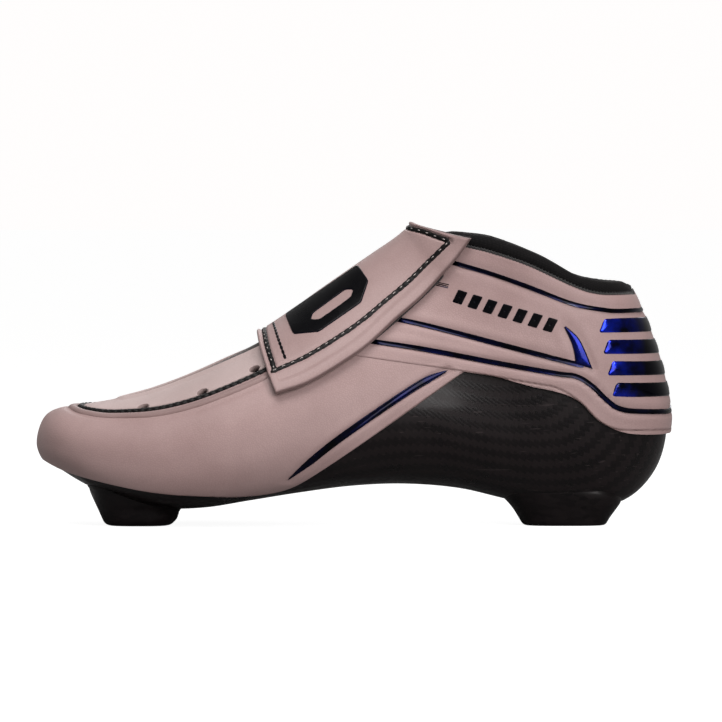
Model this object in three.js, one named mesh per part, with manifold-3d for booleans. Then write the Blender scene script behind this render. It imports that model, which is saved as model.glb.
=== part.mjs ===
// A left inline speed-skating boot without its frame: a moulded carbon shell with two frame mounts, a padded
// liner, a leather upper with an apron, and a cover flap that is sewn on the inner side of the foot and closes
// over the instep with hook and loop. Millimetres, +Z up. The toe points along -X and the outer side of the
// foot is -Y. The origin lies on the ground, below the middle of the boot.
import * as THREE from "three";
import { mergeVertices } from "three/addons/utils/BufferGeometryUtils.js";
import Module from "manifold-3d";

const wasm = await Module();
wasm.setup();

// ---------------------------------------------------------------- driving dimensions
const SHELL_LENGTH = 286; // toe to heel, over the carbon shell
const BALL_WIDTH = 96; // over the shell at the ball of the foot
const INSTEP_HEIGHT = 133; // ground to the top of the tongue
const FRAME_BOLT_SPACING = 195; // the two-bolt frame standard
const FRAME_BOLT_DIAMETER = 6;
const FRONT_BOLT_X = -99;

const GAP = 0.3; // between neighbouring pieces
const SHELL_WALL = 1.6;
const LINER_THICKNESS = 3.1;
const FOOTBED_THICKNESS = 3.5;
const LEATHER = 1.5;
const APRON_THICKNESS = 3.2;
const FILM = 0.4; // inlaid foil stripes and marks
const LOOP_THICKNESS = 0.5;
const FLAP_LINING = 1.0;
const FLAP_LEATHER = 1.4;
const BEAD_HEIGHT = 1.4;
const TONGUE_THICKNESS = 5.6;
const TONGUE_CLEARANCE = 0.8; // each side, inside the throat
const SEAM_WIDTH = 2.2; // black seam round the apron
const LACE_HOLE_DIAMETER = 5;
const EYELET_DIAMETER = 3.6;
const INSERT_BARREL_DIAMETER = 10;
const INSERT_FLANGE_DIAMETER = 16;
const INSERT_FLANGE_THICKNESS = 1.5;
const INSERT_RECESS = 1.2; // barrel end above the mounting face
const FLAP_TO_ANCHOR = 0.7; // slit along the flap's hinge line

// Stacked layers, as heights above the carbon shell's outer face.
const LEATHER_IN = GAP;
const LEATHER_OUT = LEATHER_IN + LEATHER;
const COLLAR_OUT = LEATHER_OUT - 0.6; // the soft rim sits a little lower than the leather
const FILM_IN = LEATHER_OUT + GAP;
const FILM_OUT = FILM_IN + FILM;
const LOOP_OUT = FILM_IN + LOOP_THICKNESS;
const FLAP_IN = LOOP_OUT + GAP;
const FLAP_MID = FLAP_IN + FLAP_LINING;
const COVER_IN = FLAP_MID + GAP;
const COVER_OUT = COVER_IN + FLAP_LEATHER;
const FLAP_FILM_IN = COVER_OUT + GAP;
const FLAP_FILM_OUT = FLAP_FILM_IN + FILM;
const LINER_OUT = -SHELL_WALL - GAP;
const LINER_IN = LINER_OUT - LINER_THICKNESS;
const FOOTBED_OUT = LINER_IN - GAP;
const FOOTBED_IN = FOOTBED_OUT - FOOTBED_THICKNESS;

// ---------------------------------------------------------------- the last
// The outline was drawn for these sizes; the driving sizes stretch it, as grading a last does.
const DRAWN = { length: 286, width: 96, height: 133 };
const gradeX = SHELL_LENGTH / DRAWN.length;
const gradeY = BALL_WIDTH / DRAWN.width;
const gradeZ = INSTEP_HEIGHT / DRAWN.height;

// Each station is a section of the foot, cut from an instep point down to a sole point (x, z), and swinging
// round the heel until it lies almost flat at the ankle. belly is where the section is widest, as a share of
// the way down; outer and inner are its half widths; shift moves it sideways and ridge moves its top sideways;
// crown and base are the roundness of its upper and lower half (2 is an ellipse, more is squarer).
const STATIONS = [
  { top: [-143.2, 37.1], sole: [-143.2, 37.1], belly: 0.6, outer: 0, inner: 0, shift: 7, ridge: 0, crown: 2.1, base: 2.2 },
  { top: [-140.4, 47.1], sole: [-140.0, 29.4], belly: 0.6, outer: 15, inner: 15, shift: 7, ridge: 0, crown: 2.1, base: 2.3 },
  { top: [-134.1, 51.2], sole: [-133.2, 24.6], belly: 0.6, outer: 25.5, inner: 24.5, shift: 6.5, ridge: 0, crown: 2.2, base: 2.5 },
  { top: [-122.7, 52.8], sole: [-121.3, 17.8], belly: 0.6, outer: 34.5, inner: 33, shift: 5.5, ridge: 1, crown: 2.2, base: 2.7 },
  { top: [-107.7, 55.5], sole: [-105.8, 11.6], belly: 0.6, outer: 40.5, inner: 39.5, shift: 4, ridge: 2, crown: 2.1, base: 2.9 },
  { top: [-90.8, 60.1], sole: [-88.5, 7.7], belly: 0.61, outer: 45, inner: 44.5, shift: 2.5, ridge: 3, crown: 2.0, base: 3.0 },
  { top: [-72.6, 67.4], sole: [-68.1, 8.0], belly: 0.62, outer: 47.5, inner: 47.5, shift: 1, ridge: 4, crown: 1.95, base: 3.0 },
  { top: [-55.8, 75.6], sole: [-47.6, 11.2], belly: 0.62, outer: 48, inner: 47.5, shift: 0, ridge: 5, crown: 1.9, base: 2.9 },
  { top: [-40.7, 83.5], sole: [-24.8, 14.8], belly: 0.62, outer: 46.5, inner: 45, shift: -1, ridge: 5, crown: 1.88, base: 2.7 },
  { top: [-26.2, 92.9], sole: [-1.1, 17.8], belly: 0.61, outer: 43, inner: 41, shift: -2, ridge: 5, crown: 1.86, base: 2.5 },
  { top: [-12.1, 102.9], sole: [23.0, 18.7], belly: 0.6, outer: 39.5, inner: 37.5, shift: -2, ridge: 4.5, crown: 1.85, base: 2.4 },
  { top: [0.7, 111.8], sole: [48.0, 16.6], belly: 0.59, outer: 37, inner: 35.5, shift: -1.5, ridge: 4, crown: 1.85, base: 2.4 },
  { top: [11.6, 119.3], sole: [73.1, 10.9], belly: 0.58, outer: 35.5, inner: 35, shift: -0.5, ridge: 3, crown: 1.88, base: 2.5 },
  { top: [20.3, 125.2], sole: [98.1, 8.0], belly: 0.57, outer: 34.5, inner: 34.5, shift: 0, ridge: 2, crown: 1.92, base: 2.5 },
  { top: [25.7, 129.5], sole: [121.8, 10.7], belly: 0.56, outer: 34, inner: 34, shift: 0, ridge: 1, crown: 1.96, base: 2.3 },
  { top: [28.9, 133.2], sole: [136.8, 24.8], belly: 0.55, outer: 33.5, inner: 33.5, shift: 0, ridge: 0, crown: 2.0, base: 2.2 },
  { top: [31.2, 136.3], sole: [142.3, 45.3], belly: 0.54, outer: 33, inner: 33, shift: 0, ridge: 0, crown: 2.0, base: 2.2 },
  { top: [33.0, 139.5], sole: [139.1, 68.1], belly: 0.54, outer: 32.5, inner: 32.5, shift: 0, ridge: 0, crown: 2.0, base: 2.2 },
  { top: [34.4, 142.7], sole: [132.3, 89.5], belly: 0.54, outer: 32.5, inner: 32.5, shift: 0, ridge: 0, crown: 2.0, base: 2.2 },
  { top: [35.7, 146.4], sole: [123.6, 109.9], belly: 0.54, outer: 33, inner: 33, shift: 0, ridge: 0, crown: 2.0, base: 2.2 },
];
const LAST_STATION = STATIONS.length - 1;
const ROWS = 21; // sections from the toe to the ankle
const ROUND = 18; // facets round a section
const PROBE = 0.02; // step of the slopes that give a normal

// The station before the toe is the first one turned over, so that the tip is round.
function station(i) {
  if (i < 0) {
    const s = STATIONS[-i];
    return { ...s, top: s.sole, sole: s.top, outer: -s.outer, inner: -s.inner };
  }
  if (i > LAST_STATION) {
    const a = STATIONS[LAST_STATION];
    const b = STATIONS[LAST_STATION - 1];
    const on = (p, q) => [2 * p[0] - q[0], 2 * p[1] - q[1]];
    return { ...a, top: on(a.top, b.top), sole: on(a.sole, b.sole) };
  }
  return STATIONS[i];
}

// Uniform Catmull-Rom blend of one measure over the four stations round u.
function along(u, pick) {
  const i = Math.min(Math.floor(u), LAST_STATION - 1);
  const t = u - i;
  const [a, b, c, d] = [i - 1, i, i + 1, i + 2].map((k) => pick(station(k)));
  return (
    0.5 * (2 * b + (c - a) * t + (2 * a - 5 * b + 4 * c - d) * t * t + (3 * b - a - 3 * c + d) * t * t * t)
  );
}

// A point of the last. u runs from the toe tip (0) to the ankle; angle from the top (0) by the outer side
// (a quarter turn) and the sole (a half turn) to the inner side.
function lastPoint(u, angle) {
  const tx = along(u, (s) => s.top[0]);
  const tz = along(u, (s) => s.top[1]);
  const bx = along(u, (s) => s.sole[0]);
  const bz = along(u, (s) => s.sole[1]);
  const belly = along(u, (s) => s.belly);
  const c = Math.cos(angle);
  const n = Math.sin(angle);
  const squareness = THREE.MathUtils.lerp(along(u, (s) => s.crown), along(u, (s) => s.base), (1 - c) / 2);
  const reach = (Math.abs(c) ** squareness + Math.abs(n) ** squareness) ** (-1 / squareness);
  const down = belly - (c > 0 ? belly : 1 - belly) * c * reach;
  const half = along(u, (s) => (n > 0 ? s.outer : s.inner));
  const middle = along(u, (s) => s.shift) + along(u, (s) => s.ridge) * Math.max(0, c) ** 2;
  return new THREE.Vector3(
    (tx + (bx - tx) * down) * gradeX,
    (middle - half * n * reach) * gradeY,
    (tz + (bz - tz) * down) * gradeZ,
  );
}

function lastNormal(u, angle) {
  if (u < PROBE) return new THREE.Vector3(-1, 0, 0);
  const round = lastPoint(u, angle + PROBE).sub(lastPoint(u, angle - PROBE));
  const forth = lastPoint(u + PROBE, angle).sub(lastPoint(u - PROBE, angle));
  return round.cross(forth).normalize();
}

const onLast = (u, angle, height) => lastPoint(u, angle).addScaledVector(lastNormal(u, angle), height);

// ---------------------------------------------------------------- solids
function toSolid(geometry) {
  const bare = geometry.index ? geometry.toNonIndexed() : geometry;
  bare.deleteAttribute("normal");
  bare.deleteAttribute("uv");
  const merged = mergeVertices(bare, 1e-4);
  return new wasm.Manifold(
    new wasm.Mesh({
      numProp: 3,
      vertProperties: merged.attributes.position.array,
      triVerts: new Uint32Array(merged.index.array),
    }),
  );
}

function toGeometry(solid) {
  const made = solid.getMesh();
  const at = new Float32Array(made.numVert * 3);
  for (let i = 0; i < made.numVert; i++)
    at.set(made.vertProperties.subarray(i * made.numProp, i * made.numProp + 3), i * 3);
  const geometry = new THREE.BufferGeometry();
  geometry.setAttribute("position", new THREE.BufferAttribute(at, 3));
  geometry.setIndex(new THREE.BufferAttribute(made.triVerts, 1));
  geometry.computeVertexNormals();
  return geometry;
}

// A closed skin over rings of points: ring k to ring k + 1, with both ends closed on their middle.
function skin(rings) {
  const n = rings[0].length;
  const points = rings.flat();
  const middles = [rings[0], rings[rings.length - 1]].map((ring) =>
    ring.reduce((sum, p) => sum.add(p), new THREE.Vector3()).divideScalar(n),
  );
  const first = points.length;
  points.push(...middles);
  const faces = [];
  for (let j = 0; j < n; j++) {
    const k = (j + 1) % n;
    faces.push(first, k, j);
    for (let i = 0; i + 1 < rings.length; i++) {
      faces.push(i * n + j, i * n + k, (i + 1) * n + j);
      faces.push(i * n + k, (i + 1) * n + k, (i + 1) * n + j);
    }
    faces.push(first + 1, (rings.length - 1) * n + j, (rings.length - 1) * n + k);
  }
  const geometry = new THREE.BufferGeometry().setFromPoints(points);
  geometry.setIndex(faces);
  return toSolid(geometry);
}

// The whole last, swollen by height, as one solid. Every layer is cut from these, so their facets line up.
const bags = new Map();
function bag(height) {
  const key = height.toFixed(3);
  if (!bags.has(key)) {
    const rings = [];
    for (let i = 1; i <= ROWS; i++) {
      const ring = [];
      for (let j = 0; j < ROUND; j++) ring.push(onLast((LAST_STATION * i) / ROWS, (2 * Math.PI * j) / ROUND, height));
      rings.push(ring);
    }
    rings.unshift(rings[0].map((p) => p.clone().lerp(onLast(0, 0, height), 0.999)));
    bags.set(key, skin(rings));
  }
  return bags.get(key);
}
const layer = (from, to) => bag(to).subtract(bag(from));

const REACH = 120; // past the boot on every side
const X = (v) => v * gradeX;
const Y = (v) => v * gradeY;
const Z = (v) => v * gradeZ;

// A side-view outline (x, z), cut straight through the boot from y0 to y1.
function sideCut(outline, y0 = -REACH, y1 = REACH) {
  const shape = new THREE.Shape(outline.map(([x, z]) => new THREE.Vector2(X(x), Z(z))));
  const geometry = new THREE.ExtrudeGeometry(shape, { depth: y1 - y0, bevelEnabled: false });
  geometry.rotateX(Math.PI / 2).translate(0, y1, 0);
  return toSolid(geometry);
}

// A plan outline (x, y), cut straight down from above the boot to z0.
function planCut(outline, z0) {
  const shape = new THREE.Shape(outline.map(([x, y]) => new THREE.Vector2(X(x), Y(y))));
  const geometry = new THREE.ExtrudeGeometry(shape, { depth: 2 * REACH, bevelEnabled: false });
  geometry.translate(0, 0, z0);
  return toSolid(geometry);
}

function curve(points, steps = 2) {
  const line = new THREE.SplineCurve(points.map(([x, y]) => new THREE.Vector2(x, y)));
  return line.getPoints((points.length - 1) * steps).map((p) => [p.x, p.y]);
}

// The same curve moved sideways, to its left as it runs.
function beside(points, distance) {
  return points.map(([x, y], i) => {
    const [ax, ay] = points[Math.max(0, i - 1)];
    const [bx, by] = points[Math.min(points.length - 1, i + 1)];
    const long = Math.hypot(bx - ax, by - ay);
    return [x - ((by - ay) / long) * distance, y + ((bx - ax) / long) * distance];
  });
}

// A band of the given width along a curve, with its ends cut square or drawn to a point.
const band = (points, width) => [...beside(points, -width / 2), ...beside(points, width / 2).reverse()];

function cylinder(radius, z0, z1, x, facets = 24) {
  const geometry = new THREE.CylinderGeometry(radius, radius, z1 - z0, facets);
  geometry.rotateX(Math.PI / 2).translate(x, 0, (z0 + z1) / 2);
  return toSolid(geometry);
}

const OUTER_SIDE = [-REACH, 0];
const INNER_SIDE = [0, REACH];
const FAR = 170; // an outline's corner that lies past the boot

// ---------------------------------------------------------------- seams, drawn from the outer side
const vampLower = curve([
  [-147, 33], [-139, 29.5], [-124.5, 24], [-93, 17.3], [-62, 15.6], [-43, 16.3], [-28.5, 19.4],
  [-12.3, 28.5], [16.2, 47.1], [49.4, 70.3],
]);
const wrapLower = curve([
  [-26, 81.5], [-1.2, 77], [49.4, 70.3], [81.7, 65], [92, 62.8], [101.3, 57], [109.8, 48.5],
  [118, 44.6], [130, 43.9], [150, 43.9],
]);
const leatherTop = curve([
  [20, 130], [41, 128.8], [53.4, 126.2], [62.3, 124.1], [78.5, 118.5], [98.9, 108.7], [108, 105.6],
  [117.6, 104.7], [140, 104.9],
]);
const collarTop = curve([
  [18, 136.4], [36, 134.4], [49, 133], [62.6, 130.7], [84.4, 122.7], [100.8, 114], [111.8, 111.8],
  [121, 111], [127, 108.5], [140, 104.9],
]);
const aboveCollar = sideCut([...collarTop, [FAR, 104.9], [FAR, FAR], [18, FAR]]);

// Seen from above: half the width of the apron's seam and of the throat, from its front to the ankle.
const apronHalf = curve([
  [-123.5, 0], [-122.3, 6.5], [-117.5, 14], [-107, 21.5], [-84, 30.5], [-63, 34], [-40, 33], [-10, 27], [42, 18],
]);
const throatHalf = curve([[-104, 0.8], [-101, 3.2], [-90, 5.5], [-70, 8.5], [-40, 13], [0, 15.5], [34, 16.5], [60, 17]]);
const THROAT_MIDDLE = 2.5; // the throat lies towards the inner side, along the foot's ridge
const throatFloor = sideCut([[-140, 38], [-60, 48], [20, 92], [FAR, 92], [FAR, FAR], [-140, FAR]]);

// Widens a half outline by distance, mirrors it, and closes it past its last point.
function planTongue(half, distance, end) {
  const edge = beside(half, distance);
  edge[0] = [half[0][0] - distance, 0.01];
  edge.push([end, edge[edge.length - 1][1]]);
  const middle = ([x, y]) => [x, y + THROAT_MIDDLE];
  const mirrored = edge.slice(1).reverse().map(([x, y]) => [x, -y]);
  return planCut([...edge.map(middle).reverse(), ...mirrored.map(middle).reverse()], 0).intersect(throatFloor);
}
const throat = planTongue(throatHalf, 0, 62);
const inThroat = planTongue(throatHalf, -TONGUE_CLEARANCE, 62);
const apronInside = planTongue(apronHalf, 0, 80);
const apronSeamInside = planTongue(apronHalf, GAP, 80);
const apronSeamOutside = planTongue(apronHalf, SEAM_WIDTH - GAP, 80);
const apronOutside = planTongue(apronHalf, SEAM_WIDTH, 80);
const beadInside = planTongue(apronHalf, SEAM_WIDTH + 1.2, 80);
const beadOutside = planTongue(apronHalf, SEAM_WIDTH + 3.8, 80);

// ---------------------------------------------------------------- cover flap, drawn from the outer side
const flapFront = [[-46, 96], [-42.1, 85.8], [-40.7, 77.2], [-37.6, 65.8]];
const flapFree = curve([
  [-34.8, 58.4], [-20.5, 63.6], [-5, 72.6], [7, 81], [19, 91.8], [31.4, 102.4], [43.5, 115.4], [50, 123.4], [54.8, 130.8],
]);
const flapRear = [[54.8, 130.8], [26, 135.2], [18, 136.4]];
const hingeFront = [-41.5, 80]; // this line runs almost straight over the inner side, so the flap can turn on it
const hingeRear = [53.5, 108];
const aboveFlap = [[10, FAR], [-60, FAR], [-60, 96]];
const flapOuterHalf = sideCut([...flapFront, ...flapFree, ...flapRear.slice(1), ...aboveFlap], -REACH, 0.5);
const hingeLine = beside([hingeFront, hingeRear], FLAP_TO_ANCHOR / 2);
const flapInnerHalf = sideCut(
  [...flapFront.slice(0, 2), ...hingeLine, ...flapRear, ...aboveFlap],
  -0.5,
  REACH,
);
const flapArea = flapOuterHalf.add(flapInnerHalf);

// ---------------------------------------------------------------- finishes
const finish = (color, roughness, metalness = 0) => new THREE.MeshStandardMaterial({ color, roughness, metalness });
const LEATHER_FINISH = finish(0xcbb0ae, 0.55);
const CARBON_FINISH = finish(0x1a1516, 0.3);
const LINING_FINISH = finish(0x121011, 0.95);
const SEAM_FINISH = finish(0x0c0a0b, 0.5);
const BLUE_FINISH = finish(0x0c1bb8, 0.15, 0.9);
const STRIPE_FINISH = finish(0x0d0b22, 0.2, 0.6);
const GLOSS_FINISH = finish(0x05060b, 0.12);
const STEEL_FINISH = finish(0x9a9a9c, 0.35, 1);
const FOOTBED_FINISH = finish(0x2a282b, 0.9);

const boot = new THREE.Group();
function add(name, solid, material) {
  const mesh = new THREE.Mesh(toGeometry(solid), material);
  mesh.name = name;
  boot.add(mesh);
  return solid;
}

// ---------------------------------------------------------------- shell, mounts and inside
const CARBON_UNDER_LEATHER = 7; // how far the shell runs on under the upper's edge
const carbonTop = [
  ...beside(vampLower, CARBON_UNDER_LEATHER).slice(0, -4),
  [30, 72],
  ...beside(wrapLower, CARBON_UNDER_LEATHER).slice(5),
];
const heelBoltX = FRONT_BOLT_X + FRAME_BOLT_SPACING;
const boltHoles = [FRONT_BOLT_X, heelBoltX];
const barrelHole = INSERT_BARREL_DIAMETER / 2 + GAP;

function holesFor(radius, z0, z1) {
  return cylinder(radius, z0, z1, boltHoles[0]).add(cylinder(radius, z0, z1, boltHoles[1]));
}

const belowCarbonTop = sideCut([[-FAR, -20], [FAR, -20], [FAR, 60], ...carbonTop.slice().reverse(), [-FAR, 40]]);
add(
  "carbon_shell",
  layer(-SHELL_WALL, 0).intersect(belowCarbonTop).subtract(holesFor(barrelHole, 0, 25)),
  CARBON_FINISH,
);

// A mounting block as a stack of rounded outlines: [height, front x, rear x, half width].
const FRONT_BLOCK = [
  [0, -111.5, -84.5, 20], [1, -113.4, -82.6, 21.5], [3, -114.8, -80.6, 22], [7, -116.6, -79, 22.5],
  [10, -118, -75.5, 23.5], [14, -119.6, -72, 24.5], [18, -119.6, -72, 24], [24, -112, -80, 18],
];
const HEEL_BLOCK = [
  [0, 77.6, 113.4, 17], [1, 76.2, 114.8, 18], [3.5, 74.6, 116.4, 18.5], [7, 72.4, 119, 19.4],
  [10, 70, 121, 20.4], [13, 66.8, 122, 21.2], [15.5, 63, 121, 21.4], [17.5, 58, 118, 21], [21, 62, 112, 17],
];
const BLOCK_SQUARENESS = 3.2;
const BLOCK_FACETS = 32;

function block(levels, boltX) {
  const drawnBolt = levels === FRONT_BLOCK ? -99 : 96;
  const rings = levels.map(([z, front, rear, half]) => {
    const middle = (front + rear) / 2 - drawnBolt + boltX;
    const ring = [];
    for (let j = 0; j < BLOCK_FACETS; j++) {
      const angle = (2 * Math.PI * j) / BLOCK_FACETS;
      const c = Math.cos(angle);
      const n = Math.sin(angle);
      const reach = (Math.abs(c) ** BLOCK_SQUARENESS + Math.abs(n) ** BLOCK_SQUARENESS) ** (-1 / BLOCK_SQUARENESS);
      ring.push(new THREE.Vector3(middle + ((rear - front) / 2) * c * reach, half * n * reach, z));
    }
    return ring;
  });
  return skin(rings).subtract(bag(GAP)).subtract(holesFor(barrelHole, -1, 30));
}
add("front_mount_block", block(FRONT_BLOCK, boltHoles[0]), CARBON_FINISH);
add("heel_mount_block", block(HEEL_BLOCK, boltHoles[1]), CARBON_FINISH);

// The height of the shell's inner face under a flange centred on the bolt, at its highest edge.
function flangeSeat(x) {
  const pad = cylinder(INSERT_FLANGE_DIAMETER / 2, 0, 40, x).intersect(layer(-SHELL_WALL, 0));
  return pad.boundingBox().max[2] + GAP;
}
const flangeSeats = boltHoles.map(flangeSeat);
["front_insert", "heel_insert"].forEach((name, i) => {
  const x = boltHoles[i];
  const top = flangeSeats[i] + INSERT_FLANGE_THICKNESS;
  const insert = cylinder(INSERT_BARREL_DIAMETER / 2, INSERT_RECESS, top, x)
    .add(cylinder(INSERT_FLANGE_DIAMETER / 2, flangeSeats[i], top, x))
    .subtract(cylinder(FRAME_BOLT_DIAMETER / 2, 0, top + 1, x));
  add(name, insert, STEEL_FINISH);
});
const flangeRoom = boltHoles
  .map((x, i) => cylinder(INSERT_FLANGE_DIAMETER / 2 + GAP, 0, flangeSeats[i] + INSERT_FLANGE_THICKNESS + GAP, x))
  .reduce((a, b) => a.add(b));

const aboveLeather = sideCut([...leatherTop, [FAR, 104.9], [FAR, FAR], [-20, FAR], [-20, 140]]);
const belowLeather = sideCut([...beside(leatherTop, -GAP), [FAR, 104.6], [FAR, -20], [-FAR, -20], [-FAR, 129]]);
add(
  "liner",
  layer(LINER_IN, LINER_OUT).intersect(belowLeather).subtract(throat).subtract(flangeRoom),
  LINING_FINISH,
);

const footbedEdge = curve([[-140, 36], [-120, 30], [-88, 24], [-48, 27], [0, 33], [30, 35], [73, 29], [100, 26], [125, 34], [140, 45]]);
add(
  "footbed",
  layer(FOOTBED_IN, FOOTBED_OUT)
    .intersect(sideCut([[-FAR, -10], [FAR, -10], [FAR, 45], ...footbedEdge.slice().reverse(), [-FAR, 36]]))
    .subtract(flangeRoom),
  FOOTBED_FINISH,
);

add(
  "collar_padding",
  layer(LINER_IN, COLLAR_OUT).intersect(aboveLeather).subtract(aboveCollar).subtract(throat),
  LINING_FINISH,
);

// ---------------------------------------------------------------- upper
const wrapArea = sideCut([...wrapLower, [FAR, 43.9], [FAR, 104.6], ...beside(leatherTop, -GAP).reverse(), [-26, 129]]);
const wrapAreaWithGap = sideCut([
  ...beside(wrapLower, -GAP), [FAR, 43.6], [FAR, FAR], [-26, FAR],
]);
const vampArea = sideCut([...vampLower, [60, 78], [60, FAR], [-FAR, FAR], [-FAR, 33]]);
add(
  "vamp",
  layer(LEATHER_IN, LEATHER_OUT).intersect(vampArea).subtract(wrapAreaWithGap).subtract(apronOutside),
  LEATHER_FINISH,
);
add("ankle_wrap", layer(LEATHER_IN, LEATHER_OUT).intersect(wrapArea).subtract(apronOutside), LEATHER_FINISH);
add(
  "apron_seam",
  layer(-1, 1).intersect(apronSeamOutside).subtract(apronSeamInside).intersect(belowLeather),
  SEAM_FINISH,
);

// A punch through the upper at a side-view point, square to the surface there.
function surfaceAt(x, z, side) {
  let best = null;
  for (let u = 0; u <= LAST_STATION; u += 0.05)
    for (let a = 0; a <= Math.PI; a += 0.03) {
      const p = lastPoint(u, side * a);
      const miss = Math.hypot(p.x - X(x), p.z - Z(z));
      if (!best || miss < best.miss) best = { miss, u, a: side * a };
    }
  return best;
}
function punch(x, z, side, diameter) {
  const { u, a } = surfaceAt(x, z, side);
  const geometry = new THREE.CylinderGeometry(diameter / 2, diameter / 2, 12, 12);
  const turn = new THREE.Quaternion().setFromUnitVectors(new THREE.Vector3(0, 1, 0), lastNormal(u, a));
  const at = lastPoint(u, a);
  geometry.applyQuaternion(turn).translate(at.x, at.y, at.z);
  return toSolid(geometry);
}
const LACE_HOLES = [[-95, 52.4], [-68, 59.2], [-44.5, 69.6]];
const EYELETS = [[-28, 87], [-13, 98], [2, 108.5], [17, 119]];
const punches = [1, -1].flatMap((side) => [
  ...LACE_HOLES.map(([x, z]) => punch(x, z, side, LACE_HOLE_DIAMETER)),
  ...EYELETS.map(([x, z]) => punch(x, z, side, EYELET_DIAMETER)),
]);
let apron = layer(LEATHER_OUT - APRON_THICKNESS, LEATHER_OUT)
  .intersect(apronInside)
  .intersect(belowLeather)
  .subtract(throat);
punches.forEach((hole) => (apron = apron.subtract(hole)));
add("apron", apron, LEATHER_FINISH);

const inFrontOfFlap = sideCut([[-FAR, 0], [-40, 0], [-39, 66], [-42.3, 77], [-44, 88], [-44, FAR], [-FAR, FAR]]);
add(
  "apron_bead",
  layer(FILM_IN, FILM_IN + BEAD_HEIGHT).intersect(beadOutside).subtract(beadInside).intersect(inFrontOfFlap),
  LEATHER_FINISH,
);

// ---------------------------------------------------------------- tongue
const TONGUE_OUT = 0.6;
const TONGUE_TOP = 133.5;
const TONGUE_BEND_X = -24; // where the padded part starts to fold forward
const tongueBody = layer(TONGUE_OUT - TONGUE_THICKNESS, TONGUE_OUT).intersect(inThroat);
const tongueFoot = sideCut([[-FAR, 0], [-FAR, FAR], [-44, FAR], [TONGUE_BEND_X, 85], [TONGUE_BEND_X + 12, 60], [0, 0]]);
const tongueHead = sideCut([
  [-43.2, FAR], [TONGUE_BEND_X + 0.8, 85], [TONGUE_BEND_X + 12.8, 60], [40, 0], [80, 60], [80, TONGUE_TOP], [20, TONGUE_TOP], [10, FAR],
]);
add("tongue_base", tongueBody.intersect(tongueFoot), LINING_FINISH);
add("tongue_pad", tongueBody.intersect(tongueHead), LINING_FINISH);

// ---------------------------------------------------------------- flap
const hookArea = sideCut(band([[-20, 73], [2, 86], [24, 104.5], [38, 118]], 13), ...OUTER_SIDE);
const loopArea = sideCut(band([[-19, 76.5], [2, 89], [24, 107], [37, 119.5]], 11), ...OUTER_SIDE);
const loopRoom = sideCut(band([[-19.4, 76.2], [2, 89], [24, 107], [37.4, 119.8]], 11 + 2 * GAP), ...OUTER_SIDE);
const hookRoom = sideCut(band([[-20.4, 72.7], [2, 86], [24, 104.5], [38.4, 118.3]], 13 + 2 * GAP), ...OUTER_SIDE);
add("flap_lining", layer(FLAP_IN, FLAP_MID).intersect(flapArea).subtract(hookRoom), LINING_FINISH);
add("hook_patch", layer(FLAP_IN, FLAP_MID).intersect(flapArea).intersect(hookArea), SEAM_FINISH);
add("flap_cover", layer(COVER_IN, COVER_OUT).intersect(flapArea), LEATHER_FINISH);
add("loop_patch", layer(FILM_IN, LOOP_OUT).intersect(loopArea), SEAM_FINISH);

const anchorArea = sideCut(
  [...beside([hingeFront, hingeRear], -FLAP_TO_ANCHOR / 2), ...beside([hingeFront, hingeRear], -10).reverse()],
  ...INNER_SIDE,
);
add("flap_anchor", layer(FILM_IN, FLAP_MID).intersect(anchorArea), LEATHER_FINISH);

const FLAP_SEAM_WIDTH = 2.3;
const seamLower = curve([[-35.3, 66.7], [-21.6, 73.5], [-8.4, 81.7], [3, 89.5], [14.3, 99], [25.7, 108.6], [35.3, 118.6], [43.6, 126.8]]);
const seamFront = [[-41.5, 95], [-38.2, 85], [-37, 78], [-34.6, 66.5]];
const seamRear = [[43.6, 126.8], [24, 131.8], [8, 136]];
const flapFilm = layer(FLAP_FILM_IN, FLAP_FILM_OUT).intersect(flapArea);
const flapSeamArea = sideCut(band(seamLower, FLAP_SEAM_WIDTH), ...OUTER_SIDE)
  .add(sideCut(band(seamFront, FLAP_SEAM_WIDTH)))
  .add(sideCut(band(seamRear, FLAP_SEAM_WIDTH)));
add("flap_seam", flapFilm.intersect(flapSeamArea), SEAM_FINISH);
add(
  "flap_accent_line",
  flapFilm.intersect(sideCut(band([[-35, 98], [-33.5, 88], [-31.6, 80], [-29.6, 73.2]], 1.6), -REACH, 10)),
  GLOSS_FINISH,
);
const markPlate = [[-25.5, 83], [-14.5, 84.6], [4.5, 98], [8.4, 107.6], [4, 118], [-30.5, 96]];
const markSlot = [[-17.5, 89.6], [-13.6, 89.9], [0.2, 100], [1.6, 103.4], [-1.8, 103.2], [-16.4, 92.4]];
add(
  "flap_emblem",
  flapFilm.intersect(sideCut(markPlate, ...OUTER_SIDE)).subtract(sideCut(markSlot, ...OUTER_SIDE)),
  GLOSS_FINISH,
);

// ---------------------------------------------------------------- inlaid stripes and bars
const film = layer(FILM_IN, FILM_OUT);
const STRIPE_WIDTH = 2.5;
const collarStripe = curve([
  [36, 121.4], [46, 118.9], [62.3, 114.4], [78.6, 108.7], [94.9, 102.2], [103, 99.7], [111, 98.2], [119.2, 97.3], [145, 97.3],
]);
const lowerStripe = curve([
  [2, 84], [29.8, 80.3], [62.3, 74.6], [90.8, 69.7], [100, 68.3], [107, 64], [113.1, 58], [119.2, 53.8], [130, 52.3], [160, 51.4],
]);
const midStripe = [
  ...beside(curve([[10, 94.5], [29.8, 91.2], [62.3, 83.5], [99, 74.4]]), STRIPE_WIDTH / 2),
  [97.4, 82], [94, 89.6], [95.4, 90.7], [100.6, 85.8], [104, 79.4], [106.8, 72.2], [104.9, 71.2],
  ...beside(curve([[10, 94.5], [29.8, 91.2], [62.3, 83.5], [99, 74.4]]), -STRIPE_WIDTH / 2).reverse(),
];
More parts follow.
